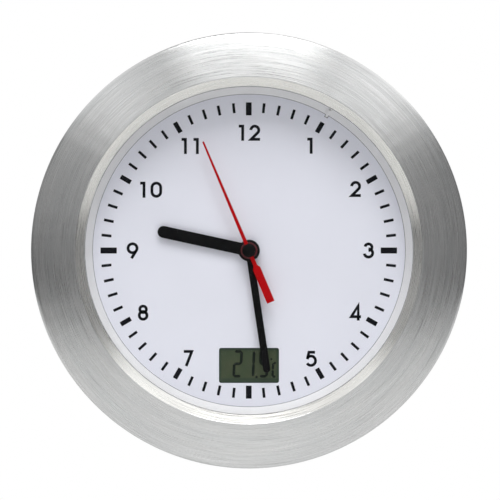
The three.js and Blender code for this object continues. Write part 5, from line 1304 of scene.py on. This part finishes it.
# %% The room
ROOM = {-180: 0.03, -150: 0.03, -120: 0.03, -90: 0.19, -75: 0.41, -60: 0.37, -45: 1.4,
        -30: 1.11, -15: 0.1, 0: 0.1, 15: 0.35, 30: 1.59, 45: 1.58, 60: 0.25, 75: 0.25,
        90: 0.22, 120: 0.03, 150: 0.03, 180: 0.03}
STRAIGHT_AHEAD = (0.63, 0.63, 0.635)


def room():
    """A studio whose light depends on the direction that it comes from."""
    world = bpy.data.worlds.new("studio")
    bpy.context.scene.world = world
    world.use_nodes = True
    tree = world.node_tree
    tree.nodes.clear()
    heading = add(tree, "TexCoord").outputs["Generated"]
    parts = add(tree, "SeparateXYZ", {0: heading}).outputs
    turn = reckon(tree, "ARCTAN2", parts["X"], parts["Z"])
    ramp = add(tree, "ValToRGB", {"Fac": ranged(tree, turn, -math.pi, math.pi)})
    elements = ramp.color_ramp.elements
    elements[0].color = elements[1].color = (*[ROOM[180]] * 3, 1)
    for heading_turn, tone in list(ROOM.items())[1:-1]:
        elements.new(0.5 + heading_turn / 360).color = (tone, tone, tone, 1)
    off_axis = length_of(tree, X=parts["X"], Z=parts["Z"])
    share = ranged(tree, off_axis, 0.12, 0.42, interpolation_type="SMOOTHSTEP")
    light = between(tree, share, STRAIGHT_AHEAD, ramp.outputs["Color"])
    lit = add(tree, "Background", {"Color": light, "Strength": 1.0})
    plain = add(tree, "Background", {"Color": (1, 1, 1, 1), "Strength": 1.0})
    sight = add(tree, "LightPath").outputs["Is Camera Ray"]
    mixed = add(tree, "MixShader", {0: sight, 1: lit.outputs[0], 2: plain.outputs[0]})
    add(tree, "OutputWorld", {"Surface": mixed.outputs[0]})


room()
bpy.context.scene.view_settings.view_transform = "Standard"
print("the room has", len(ROOM), "tones all round")

# %% [markdown]
# A soft box does the rest: it hangs above and in front, whitens the rim and the dial, and throws
# the shadows of the hands down the dial. An area light is used, because its size sets how soft
# the shadows are.

# %% The soft box
def soft_box(name, place, target, wide, high, power):
    """A rectangular light that faces a point."""
    light = bpy.data.lights.new(name, "AREA")
    light.shape, light.size, light.size_y, light.energy = "RECTANGLE", wide, high, power
    lamp = bpy.data.objects.new(name, light)
    lamp.location = place
    lamp.rotation_euler = (Vector(target) - Vector(place)).to_track_quat("-Z", "Y").to_euler()
    bpy.context.scene.collection.objects.link(lamp)


DIAL_MIDDLE = (0, -0.026, 0)
soft_box("upper_box", (0.0, -0.62, 1.0), DIAL_MIDDLE, wide=0.7, high=0.5, power=9.3)
print("one soft box")

# %% [markdown]
# A pale floor lies below the clock, as a small table would in a studio. It stops short of the
# camera's view from the front, where the real picture shows nothing but white, and shows in
# the views from above. It has a faint unevenness so that its shadow doesn't look cut out.

# %% The floor
FLOOR_BELOW = 65
floor_mesh = bmesh.new()
floor_level = solid_low.z / MM - FLOOR_BELOW
plate(floor_mesh, [oblong(1400, 1000, 40)], -1.5, 1.5, 1.0, 2,
      Matrix.Translation((0, 0, floor_level * MM)) @ Matrix.Rotation(math.radians(-90), 4, "X"))
bmesh.ops.recalc_face_normals(floor_mesh, faces=floor_mesh.faces)
floor_data = bpy.data.meshes.new("floor")
floor_mesh.to_mesh(floor_data)
floor_mesh.free()
floor_paint = moulded("floor_paint", (0.86, 0.86, 0.855), 0.7, 2.0, 0.02, 0.01, 120)
floor_data.materials.append(floor_paint)
floor = bpy.data.objects.new("floor", floor_data)
bpy.context.scene.collection.objects.link(floor)
print("the floor lies at", round(floor_level), "mm")

# %% [markdown]
# The picture was taken straight from the front with a long lens. The distance and the focal
# length below make the rim as large in the frame as it is there. The camera stands a hair to the
# right and above, which puts the clock where the picture has it, a pixel left of the
# middle and half a pixel low.

# %% The camera
DISTANCE, GLASS_FACE = 1.2636, 0.0364
camera_data = bpy.data.cameras.new("camera")
camera_data.sensor_width = 36
camera_data.lens = 233.3
camera = bpy.data.objects.new("camera", camera_data)
camera.location = (0.00039, -(GLASS_FACE + DISTANCE), 0.000195)
camera.rotation_euler = (math.radians(90), 0, 0)
bpy.context.scene.collection.objects.link(camera)
bpy.context.scene.camera = camera
print("the camera stands", DISTANCE, "m from the glass")
